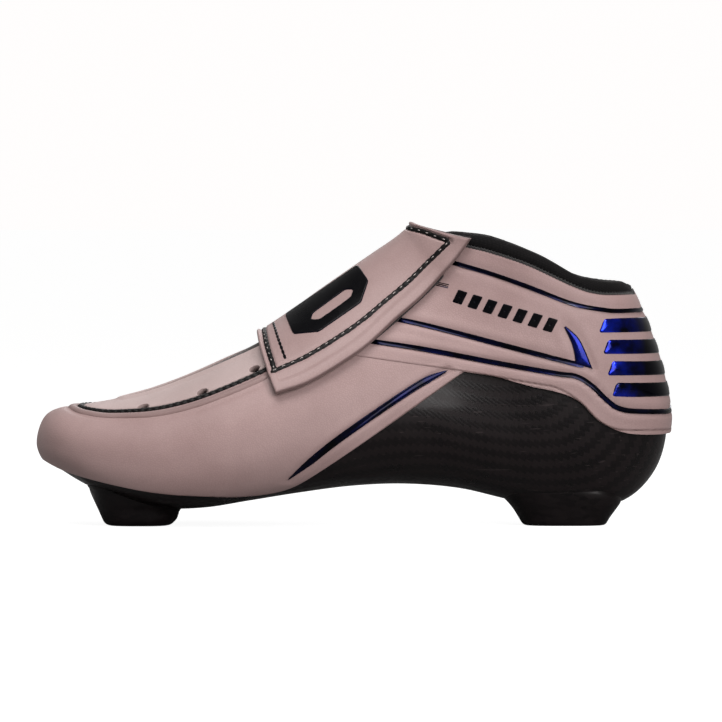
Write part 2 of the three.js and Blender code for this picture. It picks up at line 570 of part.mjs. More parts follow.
const vampStripe = [
  [-30.5, 22.9], [-20.6, 28.7], [-4.4, 40.8], [28, 62.4], [42, 70.9], [37.2, 71.4], [26.4, 64.6], [-6, 43.4], [-21.4, 32],
];
const clearOfWrap = wrapAreaWithGap;
const SIDES = { lateral: OUTER_SIDE, medial: INNER_SIDE };
const clearOfAnchor = sideCut(
  [...beside([hingeFront, hingeRear], -10.4), [60, FAR], [-60, FAR], [-60, 60]],
  ...INNER_SIDE,
);
add(
  "collar_stripe",
  film.intersect(sideCut(band(collarStripe, 2.2))).subtract(apronOutside).subtract(clearOfAnchor).subtract(loopRoom),
  STRIPE_FINISH,
);
add(
  "lower_stripe",
  film.intersect(sideCut(band(lowerStripe, STRIPE_WIDTH))).subtract(clearOfAnchor).subtract(loopRoom),
  STRIPE_FINISH,
);
for (const [side, reach] of Object.entries(SIDES)) {
  add("mid_stripe_" + side, film.intersect(sideCut(midStripe, ...reach)).subtract(clearOfAnchor).subtract(loopRoom), STRIPE_FINISH);
  add("vamp_stripe_" + side, film.intersect(sideCut(vampStripe, ...reach)).subtract(clearOfWrap), STRIPE_FINISH);
}

const BAR_COUNT = 4;
const BAR_HEIGHT = 7;
const BAR_PITCH = 9.6;
const BAR_FIRST_Z = 87.6;
const BAR_FRONT_X = 109;
const BAR_STEP = 1.9; // how much further back each bar starts than the one above it
const BAR_SLANT = 0.36; // how far each bar's end leans, per millimetre of height
for (let i = 0; i < BAR_COUNT; i++) {
  const z = BAR_FIRST_Z - i * BAR_PITCH;
  const x = BAR_FRONT_X + i * BAR_STEP;
  const bar = [[x, z], [FAR, z - 1.5], [FAR, z - 1.5 + BAR_HEIGHT], [x + BAR_SLANT * BAR_HEIGHT, z + BAR_HEIGHT]];
  add("heel_bar_" + (i + 1), film.intersect(sideCut(bar)), BLUE_FINISH);
}

const TICK_COUNT = 7;
const TICK_PITCH = [6.7, -2];
for (let i = 0; i < TICK_COUNT; i++) {
  const x = 44.5 + i * TICK_PITCH[0];
  const z = 101.2 + i * TICK_PITCH[1];
  const tick = [[x, z], [x + 4.2, z - 1.2], [x + 7.2, z + 4.6], [x + 3, z + 5.8]];
  add("side_tick_" + (i + 1), film.intersect(sideCut(tick, ...OUTER_SIDE)), GLOSS_FINISH);
}

export default boot;
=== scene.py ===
# %% [markdown]
# # A speed-skating boot, skin by skin
# The boot is a left one, for a frame with inline wheels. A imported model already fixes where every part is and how
# the flap and the tongue move. This script gives each part its real surface: leather, carbon, foil and padding.
# It works in millimetres and turns them into metres when a mesh is made.

# %% Load the frame
import math

import bmesh
import bpy
import numpy as np
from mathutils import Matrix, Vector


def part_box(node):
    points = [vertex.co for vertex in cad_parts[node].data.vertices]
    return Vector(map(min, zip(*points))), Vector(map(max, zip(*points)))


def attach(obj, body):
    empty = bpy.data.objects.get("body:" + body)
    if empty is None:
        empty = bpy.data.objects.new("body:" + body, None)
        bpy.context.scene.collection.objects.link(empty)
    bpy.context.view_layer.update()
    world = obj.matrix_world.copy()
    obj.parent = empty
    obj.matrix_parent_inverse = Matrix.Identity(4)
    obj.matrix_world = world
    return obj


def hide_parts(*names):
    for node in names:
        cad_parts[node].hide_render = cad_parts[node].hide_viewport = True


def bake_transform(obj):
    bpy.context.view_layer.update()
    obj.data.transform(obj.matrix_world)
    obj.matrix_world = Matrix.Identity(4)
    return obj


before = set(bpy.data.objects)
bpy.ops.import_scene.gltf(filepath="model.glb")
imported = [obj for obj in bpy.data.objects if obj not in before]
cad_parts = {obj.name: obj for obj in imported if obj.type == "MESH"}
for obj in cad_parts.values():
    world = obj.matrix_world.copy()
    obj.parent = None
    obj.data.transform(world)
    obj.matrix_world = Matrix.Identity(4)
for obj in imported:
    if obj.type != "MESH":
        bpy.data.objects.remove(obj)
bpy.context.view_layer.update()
MM = 0.001

# %% [markdown]
# ## Camera
# The boot is looked at from its outer side, a degree or two above the ground, through a long lens, so that both ends
# are seen almost square on. The lens follows from the width to be covered at the boot's distance.

# %% Camera
VIEW_WIDTH = 328.7 * MM  # covered at the boot's middle
VIEW_ELEVATION = math.radians(1.5)
VIEW_DISTANCE = 3.6
LOOK_AT = np.array([3.0, 0.0, 74.4]) * MM

camera_data = bpy.data.cameras.new("camera")
camera_data.sensor_width = 36.0
camera_data.lens = camera_data.sensor_width * VIEW_DISTANCE / VIEW_WIDTH
camera_data.clip_end = 50
camera = bpy.data.objects.new("camera", camera_data)
bpy.context.scene.collection.objects.link(camera)
back_off = np.array([0.0, -math.cos(VIEW_ELEVATION), math.sin(VIEW_ELEVATION)])
camera.location = LOOK_AT + back_off * VIEW_DISTANCE
camera.rotation_euler = (math.pi / 2 - VIEW_ELEVATION, 0.0, 0.0)
bpy.context.scene.camera = camera
print("lens", round(camera_data.lens, 1), "mm")

# %% [markdown]
# ## Floor and light
# A plain pale floor and a pale surrounding keep the eye on the boot. A broad soft lamp hangs over it, so that what
# faces up is pale and the flanks fall off, as under a shop's ceiling. A second, narrow one makes the highlights that
# slide over the foil and the carbon, one in front lifts the flank, and one opens the shadows on the far side. The
# surrounding and the floor are white to look at, and give less light than they show, so that the black parts stay
# black. The Light Path node tells the two apart: it says whether a ray comes straight from the camera.

# %% Floor
def make_floor(half=14.0):
    """A square of the given half width at height 0."""
    corners = [(-half, -half, 0), (half, -half, 0), (half, half, 0), (-half, half, 0)]
    mesh = bpy.data.meshes.new("floor")
    mesh.from_pydata(corners, [], [(0, 1, 2, 3)])
    floor = bpy.data.objects.new("floor", mesh)
    bpy.context.scene.collection.objects.link(floor)
    return floor


floor = make_floor()
floor_paint = bpy.data.materials.new("floor_paint")
floor_paint.use_nodes = True
floor_shader = floor_paint.node_tree.nodes["Principled BSDF"]
floor_shader.inputs["Base Color"].default_value = (0.3, 0.3, 0.3, 1)
floor_shader.inputs["Roughness"].default_value = 0.9
floor_shader.inputs["Specular IOR Level"].default_value = 0.0
floor_shader.inputs["Emission Color"].default_value = (1.0, 1.0, 1.0, 1)
floor_seen = floor_paint.node_tree.nodes.new("ShaderNodeLightPath")
floor_glow = floor_paint.node_tree.nodes.new("ShaderNodeMath")
floor_glow.operation = "MULTIPLY"
floor_glow.inputs[1].default_value = 0.93  # what the camera sees of it in full shade
floor_paint.node_tree.links.new(floor_seen.outputs["Is Camera Ray"], floor_glow.inputs[0])
floor_paint.node_tree.links.new(floor_glow.outputs[0], floor_shader.inputs["Emission Strength"])
floor.data.materials.append(floor_paint)


# %% Lights
def area_light(name, place, target, size, power, colour=(1, 1, 1)):
    """A square lamp at place, turned to face target; all in metres."""
    data = bpy.data.lights.new(name, "AREA")
    data.energy = power
    data.size = size
    data.color = colour
    lamp = bpy.data.objects.new(name, data)
    bpy.context.scene.collection.objects.link(lamp)
    lamp.location = place
    aim = np.array(target) - np.array(place)
    flat = math.hypot(aim[0], aim[1])
    lamp.rotation_euler = (math.atan2(flat, -aim[2]), 0.0, math.atan2(aim[1], aim[0]) - math.pi / 2)
    return lamp


world = bpy.data.worlds.new("studio")
world.use_nodes = True
around = world.node_tree.nodes["Background"]
around.inputs["Color"].default_value = (1.0, 0.985, 0.98, 1)
seen = world.node_tree.nodes.new("ShaderNodeLightPath")
strength = world.node_tree.nodes.new("ShaderNodeMapRange")
strength.inputs["To Min"].default_value = 0.2  # light that falls on the boot
strength.inputs["To Max"].default_value = 1.0  # what the camera sees
world.node_tree.links.new(seen.outputs["Is Camera Ray"], strength.inputs["Value"])
world.node_tree.links.new(strength.outputs[0], around.inputs["Strength"])
bpy.context.scene.world = world
bpy.context.scene.view_settings.view_transform = "Standard"
area_light("overhead", (-0.15, -0.5, 1.4), (0, 0, 0.05), 0.9, 14.0, (1.0, 0.975, 0.965))
area_light("front", (0.75, -1.5, 0.55), (0.04, 0, 0.07), 0.8, 13.0, (1.0, 0.96, 0.955))
area_light("glint", (0.6, -0.95, 0.8), (0.1, 0, 0.08), 0.1, 2.2, (0.96, 0.98, 1.0))
area_light("far_side", (0.1, 1.1, 0.8), (0, 0, 0.06), 0.8, 4.0)

# %% [markdown]
# ## The last
# A bootmaker shapes everything over a last, the solid foot form. Here the last is a surface of two numbers: u runs
# from the tip of the toe to the ankle, and the angle runs round the foot from the instep (0) by the outer side
# (a quarter turn) to the sole (half a turn). A table gives the section at twenty places, and a smooth blend fills
# in between, so that every panel, seam and stripe can be laid on the same form at its own height.

# %% The sections of the last
# columns: instep x, z; sole x, z; belly; outer and inner half width; sideways shift; ridge; crown; base
LAST_TABLE = np.array([
    [-143.2, 37.1, -143.2, 37.1, 0.60, 0.0, 0.0, 7.0, 0.0, 2.10, 2.2],
    [-140.4, 47.1, -140.0, 29.4, 0.60, 15.0, 15.0, 7.0, 0.0, 2.10, 2.3],
    [-134.1, 51.2, -133.2, 24.6, 0.60, 25.5, 24.5, 6.5, 0.0, 2.20, 2.5],
    [-122.7, 52.8, -121.3, 17.8, 0.60, 34.5, 33.0, 5.5, 1.0, 2.20, 2.7],
    [-107.7, 55.5, -105.8, 11.6, 0.60, 40.5, 39.5, 4.0, 2.0, 2.10, 2.9],
    [-90.8, 60.1, -88.5, 7.7, 0.61, 45.0, 44.5, 2.5, 3.0, 2.00, 3.0],
    [-72.6, 67.4, -68.1, 8.0, 0.62, 47.5, 47.5, 1.0, 4.0, 1.95, 3.0],
    [-55.8, 75.6, -47.6, 11.2, 0.62, 48.0, 47.5, 0.0, 5.0, 1.90, 2.9],
    [-40.7, 83.5, -24.8, 14.8, 0.62, 46.5, 45.0, -1.0, 5.0, 1.88, 2.7],
    [-26.2, 92.9, -1.1, 17.8, 0.61, 43.0, 41.0, -2.0, 5.0, 1.86, 2.5],
    [-12.1, 102.9, 23.0, 18.7, 0.60, 39.5, 37.5, -2.0, 4.5, 1.85, 2.4],
    [0.7, 111.8, 48.0, 16.6, 0.59, 37.0, 35.5, -1.5, 4.0, 1.85, 2.4],
    [11.6, 119.3, 73.1, 10.9, 0.58, 35.5, 35.0, -0.5, 3.0, 1.88, 2.5],
    [20.3, 125.2, 98.1, 8.0, 0.57, 34.5, 34.5, 0.0, 2.0, 1.92, 2.5],
    [25.7, 129.5, 121.8, 10.7, 0.56, 34.0, 34.0, 0.0, 1.0, 1.96, 2.3],
    [28.9, 133.2, 136.8, 24.8, 0.55, 33.5, 33.5, 0.0, 0.0, 2.00, 2.2],
    [31.2, 136.3, 142.3, 45.3, 0.54, 33.0, 33.0, 0.0, 0.0, 2.00, 2.2],
    [33.0, 139.5, 139.1, 68.1, 0.54, 32.5, 32.5, 0.0, 0.0, 2.00, 2.2],
    [34.4, 142.7, 132.3, 89.5, 0.54, 32.5, 32.5, 0.0, 0.0, 2.00, 2.2],
    [35.7, 146.4, 123.6, 109.9, 0.54, 33.0, 33.0, 0.0, 0.0, 2.00, 2.2],
])
U_END = len(LAST_TABLE) - 1.0
# more rows at the ends: the toe's first section turned over, and a straight continuation at the ankle
TOE_ROW = LAST_TABLE[1][[2, 3, 0, 1, 4, 5, 6, 7, 8, 9, 10]] * [1, 1, 1, 1, 1, -1, -1, 1, 1, 1, 1]
AHEAD = LAST_TABLE[-1] - LAST_TABLE[-2]
PADDED_TABLE = np.vstack([TOE_ROW, LAST_TABLE, LAST_TABLE[-1] + AHEAD, LAST_TABLE[-1] + 2 * AHEAD])
U_LIMIT = U_END + 0.99  # the collar rolls over a little past the last row


def cubic(a, b, c, d, t):
    """A uniform Catmull-Rom cubic from b to c, with a and d as the neighbours."""
    return 0.5 * (2 * b + (c - a) * t + (2 * a - 5 * b + 4 * c - d) * t**2 + (3 * b - a - 3 * c + d) * t**3)


def section(u):
    """All eleven measures at u: the cubic through the four nearest rows of the table."""
    u = np.clip(u, 0, U_LIMIT)
    i = u.astype(int)
    t = (u - i)[..., None]
    return cubic(*(PADDED_TABLE[i + k] for k in range(4)), t)


# %% [markdown]
# A section is a superellipse: squarer towards the sole, rounder over the instep. Its middle shifts to the inner
# side in front, as toes do, and its top leans the same way.

# %% A point and a normal of the last
def section_share(m, angle):
    """How far down the section a point lies (0 instep, 1 sole), and its reach from the section's middle.
    The reach is the superellipse's radius (|cos|^n + |sin|^n)^(-1/n), with n between crown and base."""
    c = np.cos(angle)
    n = m[..., 9] + (m[..., 10] - m[..., 9]) * (1 - c) / 2
    reach = (np.abs(c) ** n + np.abs(np.sin(angle)) ** n) ** (-1 / n)
    return m[..., 4] - np.where(c > 0, m[..., 4], 1 - m[..., 4]) * c * reach, reach


def last_point(u, angle):
    """x and z run down the line from instep to sole; y is the section's middle less half width times sin."""
    m = section(u)
    down, reach = section_share(m, angle)
    s = np.sin(angle)
    x = m[..., 0] + (m[..., 2] - m[..., 0]) * down
    z = m[..., 1] + (m[..., 3] - m[..., 1]) * down
    middle = m[..., 7] + m[..., 8] * np.maximum(0, np.cos(angle)) ** 2
    y = middle - np.where(s > 0, m[..., 5], m[..., 6]) * s * reach
    return np.stack([x, y, z], -1)


def polar_point(a, b):
    """The same surface over the plane a = u cos(angle), b = u sin(angle), which has no crease at the toe."""
    return last_point(np.hypot(a, b), np.arctan2(b, a))


def on_last(u, angle, height=0.0):
    """A point at a height above the last, along the normal from two small steps in the polar plane."""
    a, b = u * np.cos(angle), u * np.sin(angle)
    step = 0.01
    along = polar_point(a + step, b) - polar_point(a - step, b)
    across = polar_point(a, b + step) - polar_point(a, b - step)
    normal = np.cross(across, along)
    normal /= np.linalg.norm(normal, axis=-1, keepdims=True) + 1e-12
    return polar_point(a, b) + normal * np.asarray(height)[..., None]


probe_u, probe_angle = np.array([6.0]), np.array([0.0])
step_off = on_last(probe_u, probe_angle, 1.0) - on_last(probe_u, probe_angle)
print("one millimetre off the instep:", np.round(step_off[0], 2))

# %% [markdown]
# ## From a drawn line to the last
# A pattern cutter draws seams in two flat views. In the side view a section of the last is a straight line from
# instep to sole, so a drawn point is found by turning that line until it passes through the point. In the view
# from above the point is found by halving steps: first round the section until y is right, then along the foot
# until x is right.

# %% Finding drawn points on the last
HALVINGS = 34  # enough for a millionth of a millimetre


def halve(low, high, too_low):
    """Bisection on whole arrays: too_low(middle) says where the answer lies higher."""
    for _ in range(HALVINGS):
        middle = (low + high) / 2
        above = too_low(middle)
        low, high = np.where(above, middle, low), np.where(above, high, middle)
    return (low + high) / 2


def from_side(points):
    """(x, z) seen from the side to (u, angle), on the outer side: the angle is between 0 and pi."""
    x, z = np.asarray(points, float).T

    def behind(u):
        m = section(u)
        return (m[:, 2] - m[:, 0]) * (z - m[:, 1]) - (m[:, 3] - m[:, 1]) * (x - m[:, 0]) > 0

    u = halve(np.zeros(len(x)), np.full(len(x), U_END), behind)
    m = section(u)
    line = m[:, 2:4] - m[:, 0:2]
    down = ((x - m[:, 0]) * line[:, 0] + (z - m[:, 1]) * line[:, 1]) / (np.sum(line**2, 1) + 1e-9)
    angle = halve(np.zeros(len(x)), np.full(len(x), np.pi), lambda a: section_share(m, a)[0] < down)
    return np.stack([u, angle], 1)


def from_above(points):
    """(x, y) seen from above to (u, angle), on the upper half: the angle is between -pi/2 and pi/2."""
    x, y = np.asarray(points, float).T
    quarter = np.full(len(x), np.pi / 2)

    def angle_at(u):
        return halve(-quarter, quarter, lambda a: last_point(u, a)[:, 1] > y)

    u = halve(np.zeros(len(x)), np.full(len(x), U_END), lambda u: last_point(u, angle_at(u))[:, 0] < x)
    return np.stack([u, angle_at(u)], 1)


# %% Curves and even spacing
def spline(points, per_span=8):
    """A Catmull-Rom curve through the points, in any number of dimensions, with its end points kept."""
    p = np.asarray(points, float)
    p = np.vstack([2 * p[0] - p[1], p, 2 * p[-1] - p[-2]])
    t = (np.arange(per_span) / per_span)[:, None]
    return np.vstack([cubic(*four, t) for four in zip(p, p[1:], p[2:], p[3:])] + [p[-2:-1]])


def run_of(line):
    """How far along a line of points each point is."""
    return np.concatenate([[0], np.cumsum(np.linalg.norm(np.diff(line, axis=0), axis=1))])


def resample(line, at, ruler=None):
    """Points of a line at shares of its length; the length is measured on ruler, or on the line itself."""
    length = run_of(line if ruler is None else ruler)
    return np.stack([np.interp(at, length / length[-1], column) for column in line.T], 1)


def spaced(line, at):
    """Points of a (u, angle) line at shares of its length over the last."""
    return resample(line, at, on_last(*line.T))


def even(line, count):
    """The same at count even shares."""
    return spaced(line, np.linspace(0, 1, count))


def to_plane(line):
    """(u, angle) to the polar plane (a, b), where nothing special happens at the toe."""
    return np.stack([line[..., 0] * np.cos(line[..., 1]), line[..., 0] * np.sin(line[..., 1])], -1)


def to_polar(plane):
    """The polar plane back to (u, angle)."""
    return np.stack([np.hypot(plane[..., 0], plane[..., 1]), np.arctan2(plane[..., 1], plane[..., 0])], -1)


def plane_resampled(line, at):
    """A (u, angle) line in the polar plane, at shares of its length over the last."""
    return resample(to_plane(line), at, on_last(*line.T))


def other_side(line):
    """The mirror image of an outer-side line on the inner side, continuing past the sole's middle."""
    return np.stack([line[..., 0], 2 * np.pi - line[..., 1]], -1)


def shifted(points, distance):
    """A flat line moved to its left by a distance in millimetres."""
    p = np.asarray(points, float)
    way = np.gradient(p, axis=0)
    way /= np.linalg.norm(way, axis=1, keepdims=True)
    return p + distance * np.stack([-way[:, 1], way[:, 0]], 1)


# %% [markdown]
# ## From a patch to a solid panel
# A leather panel is a patch between four drawn edges. A Coons patch fills it: straight rulings between one pair of
# edges, plus those between the other pair, less the plane through the four corners. The patch is lifted off the
# last twice, to the panel's inside and outside. The outside sinks near its border as a quarter circle does, so that
# cut edges catch the light. Each panel keeps two notes for its finish: how far a point is from the edge, and a flat
# map of the panel in metres.

# %% Patches
def shares(count, tight=0.012):
    """count numbers from 0 to 1, crowded at both ends, where a panel's edge is rounded."""
    near = tight * np.array([0, 0.12, 0.35, 0.7, 1.2, 2.0])
    middle = np.linspace(near[-1], 1 - near[-1], count - 2 * len(near) + 2)[1:-1]
    return np.concatenate([near, middle, 1 - near[::-1]])


def coons(low, high, first, last, s, t):
    """Rulings low-high plus rulings first-last, less the blend of the four corners.
    low and high are given at s, first and last at t; the result has a row for each t and a column for each s.
    first and last are moved a little, so that the four lines meet at the corners."""
    fit = lambda line, start, end: line + (1 - t)[:, None] * (start - line[0]) + t[:, None] * (end - line[-1])
    first, last = fit(first, low[0], high[0]), fit(last, low[-1], high[-1])
    s, t = s[None, :, None], t[:, None, None]
    up = (1 - t) * low[None] + t * high[None]
    over = (1 - s) * first[:, None] + s * last[:, None]
    corners = (1 - t) * ((1 - s) * low[0] + s * low[-1]) + t * ((1 - s) * high[0] + s * high[-1])
    return up + over - corners


def patch(low, high, first=None, last=None, columns=120, rows=30, tight=(0.01, 0.03)):
    """A Coons patch from drawn lines of any spacing; edges that are not given are straight."""
    s, t = shares(columns, tight[0]), shares(rows, tight[1])
    low, high = spaced(low, s), spaced(high, s)
    straight = lambda a, b: a + (b - a) * t[:, None]
    first = straight(low[0], high[0]) if first is None else spaced(first, t)
    last = straight(low[-1], high[-1]) if last is None else spaced(last, t)
    return coons(low, high, first, last, s, t)


def toe_patch(low, high, s, t):
    """A patch with straight ends that runs round the toe, so it is worked out in the polar plane."""
    low, high = plane_resampled(low, s), plane_resampled(high, s)
    straight = lambda a, b: a + (b - a) * t[:, None]
    return to_polar(coons(low, high, straight(low[0], high[0]), straight(low[-1], high[-1]), s, t))


# %% Solids
def distance_to(points, line):
    """Distance in millimetres from each point to the nearest point of a line, 2000 points at a time."""
    flat = points.reshape(-1, 3)
    blocks = [np.sqrt(((flat[i:i + 2000, None] - line[None]) ** 2).sum(-1)).min(1) for i in range(0, len(flat), 2000)]
    return np.concatenate(blocks).reshape(points.shape[:-1])


def border_distance(points, closed=False):
    """Distance from each grid point to the nearest border point of the grid."""
    rim = [points[0], points[-1]] + ([] if closed else [points[:, 0], points[:, -1]])
    return distance_to(points, np.vstack(rim))


def rounded(share, least=0.0):
    """A quarter circle up from least to 1, as share goes from 0 to 1: (1 - (1 - share)^2)^(1/2)."""
    return np.sqrt(np.clip(1 - (1 - np.clip(share, 0, 1)) ** 2, least, 1))


def sunk_edge(d, edge):
    """How far a face sinks at distance d from its border: edge - (edge^2 - (edge - d)^2)^(1/2)."""
    return edge - np.sqrt(np.maximum(0, edge**2 - np.maximum(0, edge - d) ** 2))


def run_across(points, axis):
    """How far along its rows (1) or columns (0) each grid point is."""
    room = ((0, 0), (1, 0)) if axis else ((1, 0), (0, 0))
    return np.cumsum(np.pad(np.linalg.norm(np.diff(points, axis=axis), axis=2), room), axis)


def grid_faces(rows, columns, start=0, closed=False):
    """Quads of a grid of points, row by row; closed joins the last column to the first."""
    i, j = np.meshgrid(np.arange(rows - 1), np.arange(columns - (0 if closed else 1)), indexing="ij")
    k = (j + 1) % columns
    quads = [i * columns + j, i * columns + k, (i + 1) * columns + k, (i + 1) * columns + j]
    return np.stack(quads, -1).reshape(-1, 4) + start


def strip_faces(one, two):
    """Quads between two rows of point numbers."""
    return np.stack([one[:-1], one[1:], two[1:], two[:-1]], 1)


def volume_of(points, quads):
    """Signed volume: a sixth of the sum of each triangle's box product."""
    triangles = np.vstack([quads[:, [0, 1, 2]], quads[:, [0, 2, 3]]])
    a, b, c = points[triangles].transpose(1, 0, 2)
    return np.einsum("ij,ij->i", a, np.cross(b, c)).sum() / 6


# %% Writing a mesh
def write_piece(name, points, faces, notes, sharp, turn=False):
    """A mesh object from millimetre points, with its notes, its double points merged and thin faces dropped.
    turn: the mesh tools put right which way the faces look."""
    mesh = bpy.data.meshes.new(name)
    mesh.from_pydata((points * MM).tolist(), [], faces)
    mesh.attributes.new("rim", "FLOAT", "POINT").data.foreach_set("value", notes["rim"].astype(np.float32))
    corners = np.array([corner.vertex_index for corner in mesh.loops])
    mesh.uv_layers.new(name="cloth").data.foreach_set("uv", notes["cloth"][corners].astype(np.float32).ravel())
    work = bmesh.new()
    work.from_mesh(mesh)
    bmesh.ops.remove_doubles(work, verts=work.verts, dist=1e-6)
    bmesh.ops.dissolve_degenerate(work, edges=work.edges, dist=1e-7)
    if turn:
        bmesh.ops.recalc_face_normals(work, faces=work.faces)
    work.to_mesh(mesh)
    work.free()
    mesh.polygons.foreach_set("use_smooth", [True] * len(mesh.polygons))
    mesh.set_sharp_from_angle(angle=math.radians(sharp))
    piece = bpy.data.objects.new(name, mesh)
    bpy.context.scene.collection.objects.link(piece)
    return piece


def make_piece(name, points, quads, notes, sharp=55):
    """A piece from quads that all look the same way; they are turned outwards by the sign of the volume."""
    if volume_of(points, quads) < 0:
        quads = quads[:, ::-1]
    return write_piece(name, points, quads.tolist(), notes, sharp)


def make_loose(name, points, faces, notes):
    """A piece from faces of mixed size."""
    return write_piece(name, points, faces, notes, 60, turn=True)


# %% Panels
def lift(polar, height):
    """A line or a patch at a height above the last."""
    return on_last(polar[..., 0], polar[..., 1], np.broadcast_to(height, polar.shape[:-1]))


def panel(name, polar, inside, outside, edge=0.8, crown=0.0, closed=False, relief=0.0):
    """A closed solid over a patch, between two heights. Within edge of the border the outside sinks as
    edge - sqrt(edge^2 - (edge - d)^2); crown lifts the middle by crown times a smooth hump; relief is added."""
    middle = lift(polar, (inside + outside) / 2)
    d = border_distance(middle, closed)
    hump = crown * np.clip(d / (d.max() + 1e-9), 0, 1) ** 0.6
    top = lift(polar, outside - sunk_edge(d, edge) + hump + relief)
    base = lift(polar, inside)
    rows, columns = polar.shape[:2]
    number = np.arange(rows * columns).reshape(rows, columns)
    under = number + rows * columns
    quads = [grid_faces(rows, columns, 0, closed), grid_faces(rows, columns, rows * columns, closed)[:, ::-1]]
    wrap = (lambda line: np.append(line, line[0])) if closed else (lambda line: line)
    quads += [strip_faces(wrap(under[0]), wrap(number[0])), strip_faces(wrap(number[-1]), wrap(under[-1]))]
    if not closed:
        quads += [strip_faces(number[:, 0], under[:, 0]), strip_faces(under[:, -1], number[:, -1])]
    across, down = run_across(middle, 1), run_across(middle, 0)
    across -= across[:, [columns // 2]]
    flat = np.stack([across, down], -1).reshape(-1, 2) * MM
    notes = {"rim": np.concatenate([d.ravel(), np.zeros(d.size)]), "cloth": np.vstack([flat, flat])}
    return make_piece(name, np.vstack([top.reshape(-1, 3), base.reshape(-1, 3)]), np.vstack(quads), notes)


# %% [markdown]
# ## From a line to a cord, a roll or a row of stitches
# Piping, beads and threads follow a line on the last. At each point of the line there are three directions: along
# it, straight off the last, and sideways. A profile drawn in the last two is carried along the line. It shrinks to
# a point at both ends, so that the ends close.

# %% Sweeps and stitches
def frames(polar, height):
    """Points of a line at a height, with its way along, the normal and the sideways direction."""
    at = lift(polar, height)
    off = lift(polar, height + 1.0) - at
    along = np.gradient(at, axis=0)
    along /= np.linalg.norm(along, axis=1, keepdims=True) + 1e-12
    side = np.cross(off, along)
    side /= np.linalg.norm(side, axis=1, keepdims=True) + 1e-12
    return at, along, off, side


def half_round(width, height, count=9):
    """A profile (sideways, up): the upper half of an ellipse, closed below by a flat foot 0.4 further down."""
    a = np.linspace(0, np.pi, count)
    arch = np.stack([width / 2 * np.cos(a), height * np.sin(a)], 1)
    return np.vstack([arch, [[-width / 2, -0.4], [width / 2, -0.4]]])


def sweep(name, polar, height, profile, scale=None, taper=4):
    """Carries the profile along the line: point + sideways * p0 + normal * p1, times scale, tapered at the ends."""
    at, along, off, side = frames(polar, height)
    n = len(at)
    size = (1.0 if scale is None else scale) * rounded(np.minimum(np.arange(n), np.arange(n)[::-1]) / taper, 1e-5)
    p = np.asarray(profile)[None] * size[:, None, None]
    points = at[:, None] + side[:, None] * p[..., :1] + off[:, None] * p[..., 1:]
    flat = np.broadcast_arrays(run_of(at)[:, None], np.linspace(0, 1, len(profile))[None] * 4)
    return capped(name, points, np.stack(flat, -1))


def capped(name, points, flat):
    """Rings of points, closed round, with a fan of triangles on each end's middle; flat is their map."""
    n, m = points.shape[:2]
    caps = [(j, (j + 1) % m, n * m) for j in range(m)]
    caps += [((n - 1) * m + j, (n - 1) * m + (j + 1) % m, n * m + 1) for j in range(m)]
    ends = np.vstack([points[0].mean(0), points[-1].mean(0)])
    notes = {"rim": np.full(n * m + 2, 2.0), "cloth": np.vstack([flat.reshape(-1, 2) * MM, np.zeros((2, 2))])}
    return make_loose(name, np.vstack([points.reshape(-1, 3), ends]), grid_faces(n, m, 0, True).tolist() + caps,
                      notes)


def stitches(name, polar, height, pitch=3.0, length=2.1, thick=0.55, lean=0.0):
    """One small capsule for each pitch of the line, lying along it, six-sided, turned by lean radians."""
    at = on_last(*polar.T)
    count = max(2, int(run_of(at)[-1] / pitch))
    centres = resample(polar, (np.arange(count) + 0.5) / count, at)
    at, along, off, side = frames(centres, height)
    way = along * math.cos(lean) + side * math.sin(lean)
    flank = side * math.cos(lean) - along * math.sin(lean)
    reach = np.array([-0.5, -0.4, 0.0, 0.4, 0.5]) * length
    girth = np.array([0.15, 0.75, 1.0, 0.75, 0.15]) * thick / 2
    ring_value = np.arange(6) * np.pi / 3
    round_it = girth[:, None] * np.cos(ring_value), girth[:, None] * np.sin(ring_value)
    local = np.stack(np.broadcast_arrays(reach[:, None], *round_it), -1).reshape(-1, 3)
    points = at[:, None] + way[:, None] * local[None, :, :1] + flank[:, None] * local[None, :, 1:2]
    points = points + off[:, None] * local[None, :, 2:]
    one = [tuple(q) for q in grid_faces(5, 6, 0, True).tolist()] + [tuple(range(5, -1, -1)), tuple(range(24, 30))]
    faces = [tuple(k + 30 * i for k in face) for i in range(count) for face in one]
    notes = {"rim": np.full(count * 30, 2.0), "cloth": np.tile(local[:, :2] * MM, (count, 1))}
    return make_loose(name, points.reshape(-1, 3), faces, notes)


def settle(piece, body, nodes=(), paint=None):
    """What every finished piece needs: its body, the nodes that it stands for, and its finish."""
    if body:
        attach(piece, body)
    if nodes:
        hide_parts(*nodes)
    if paint is not None:
        piece.data.materials.clear()
        piece.data.materials.append(paint)
    print(piece.name, len(piece.data.polygons), "faces")
    return piece

# %% [markdown]
# ## Finishes
# Every surface of the boot is small-scale relief plus colour that varies a little. Effects that several finishes
# share are node groups, built once: a leather grain, a weave, a film of handling marks, and a darker or paler rim
# that reads each panel's own distance from its edge. The shader itself stays in each material.

# %% Node helpers
def add_node(tree, kind, inputs=None, **settings):
    """One node with its settings, then its inputs: a value is set, a socket is linked."""
    node = tree.nodes.new(kind)
    for key, value in settings.items():
        setattr(node, key, value)
    for key, value in (inputs or {}).items():
        if isinstance(value, bpy.types.NodeSocket):
            tree.links.new(value, node.inputs[key])
        else:
            node.inputs[key].default_value = value
    return node


def new_group(name, inputs, outputs):
    """An empty shader group with named numbers in and out: inputs is {name: start value}, outputs is names."""
    tree = bpy.data.node_groups.new(name, "ShaderNodeTree")
    for key, value in inputs.items():
        tree.interface.new_socket(key, in_out="INPUT", socket_type="NodeSocketFloat").default_value = value
    for key in outputs:
        tree.interface.new_socket(key, in_out="OUTPUT", socket_type="NodeSocketFloat")
    return tree, tree.nodes.new("NodeGroupInput").outputs, tree.nodes.new("NodeGroupOutput").inputs


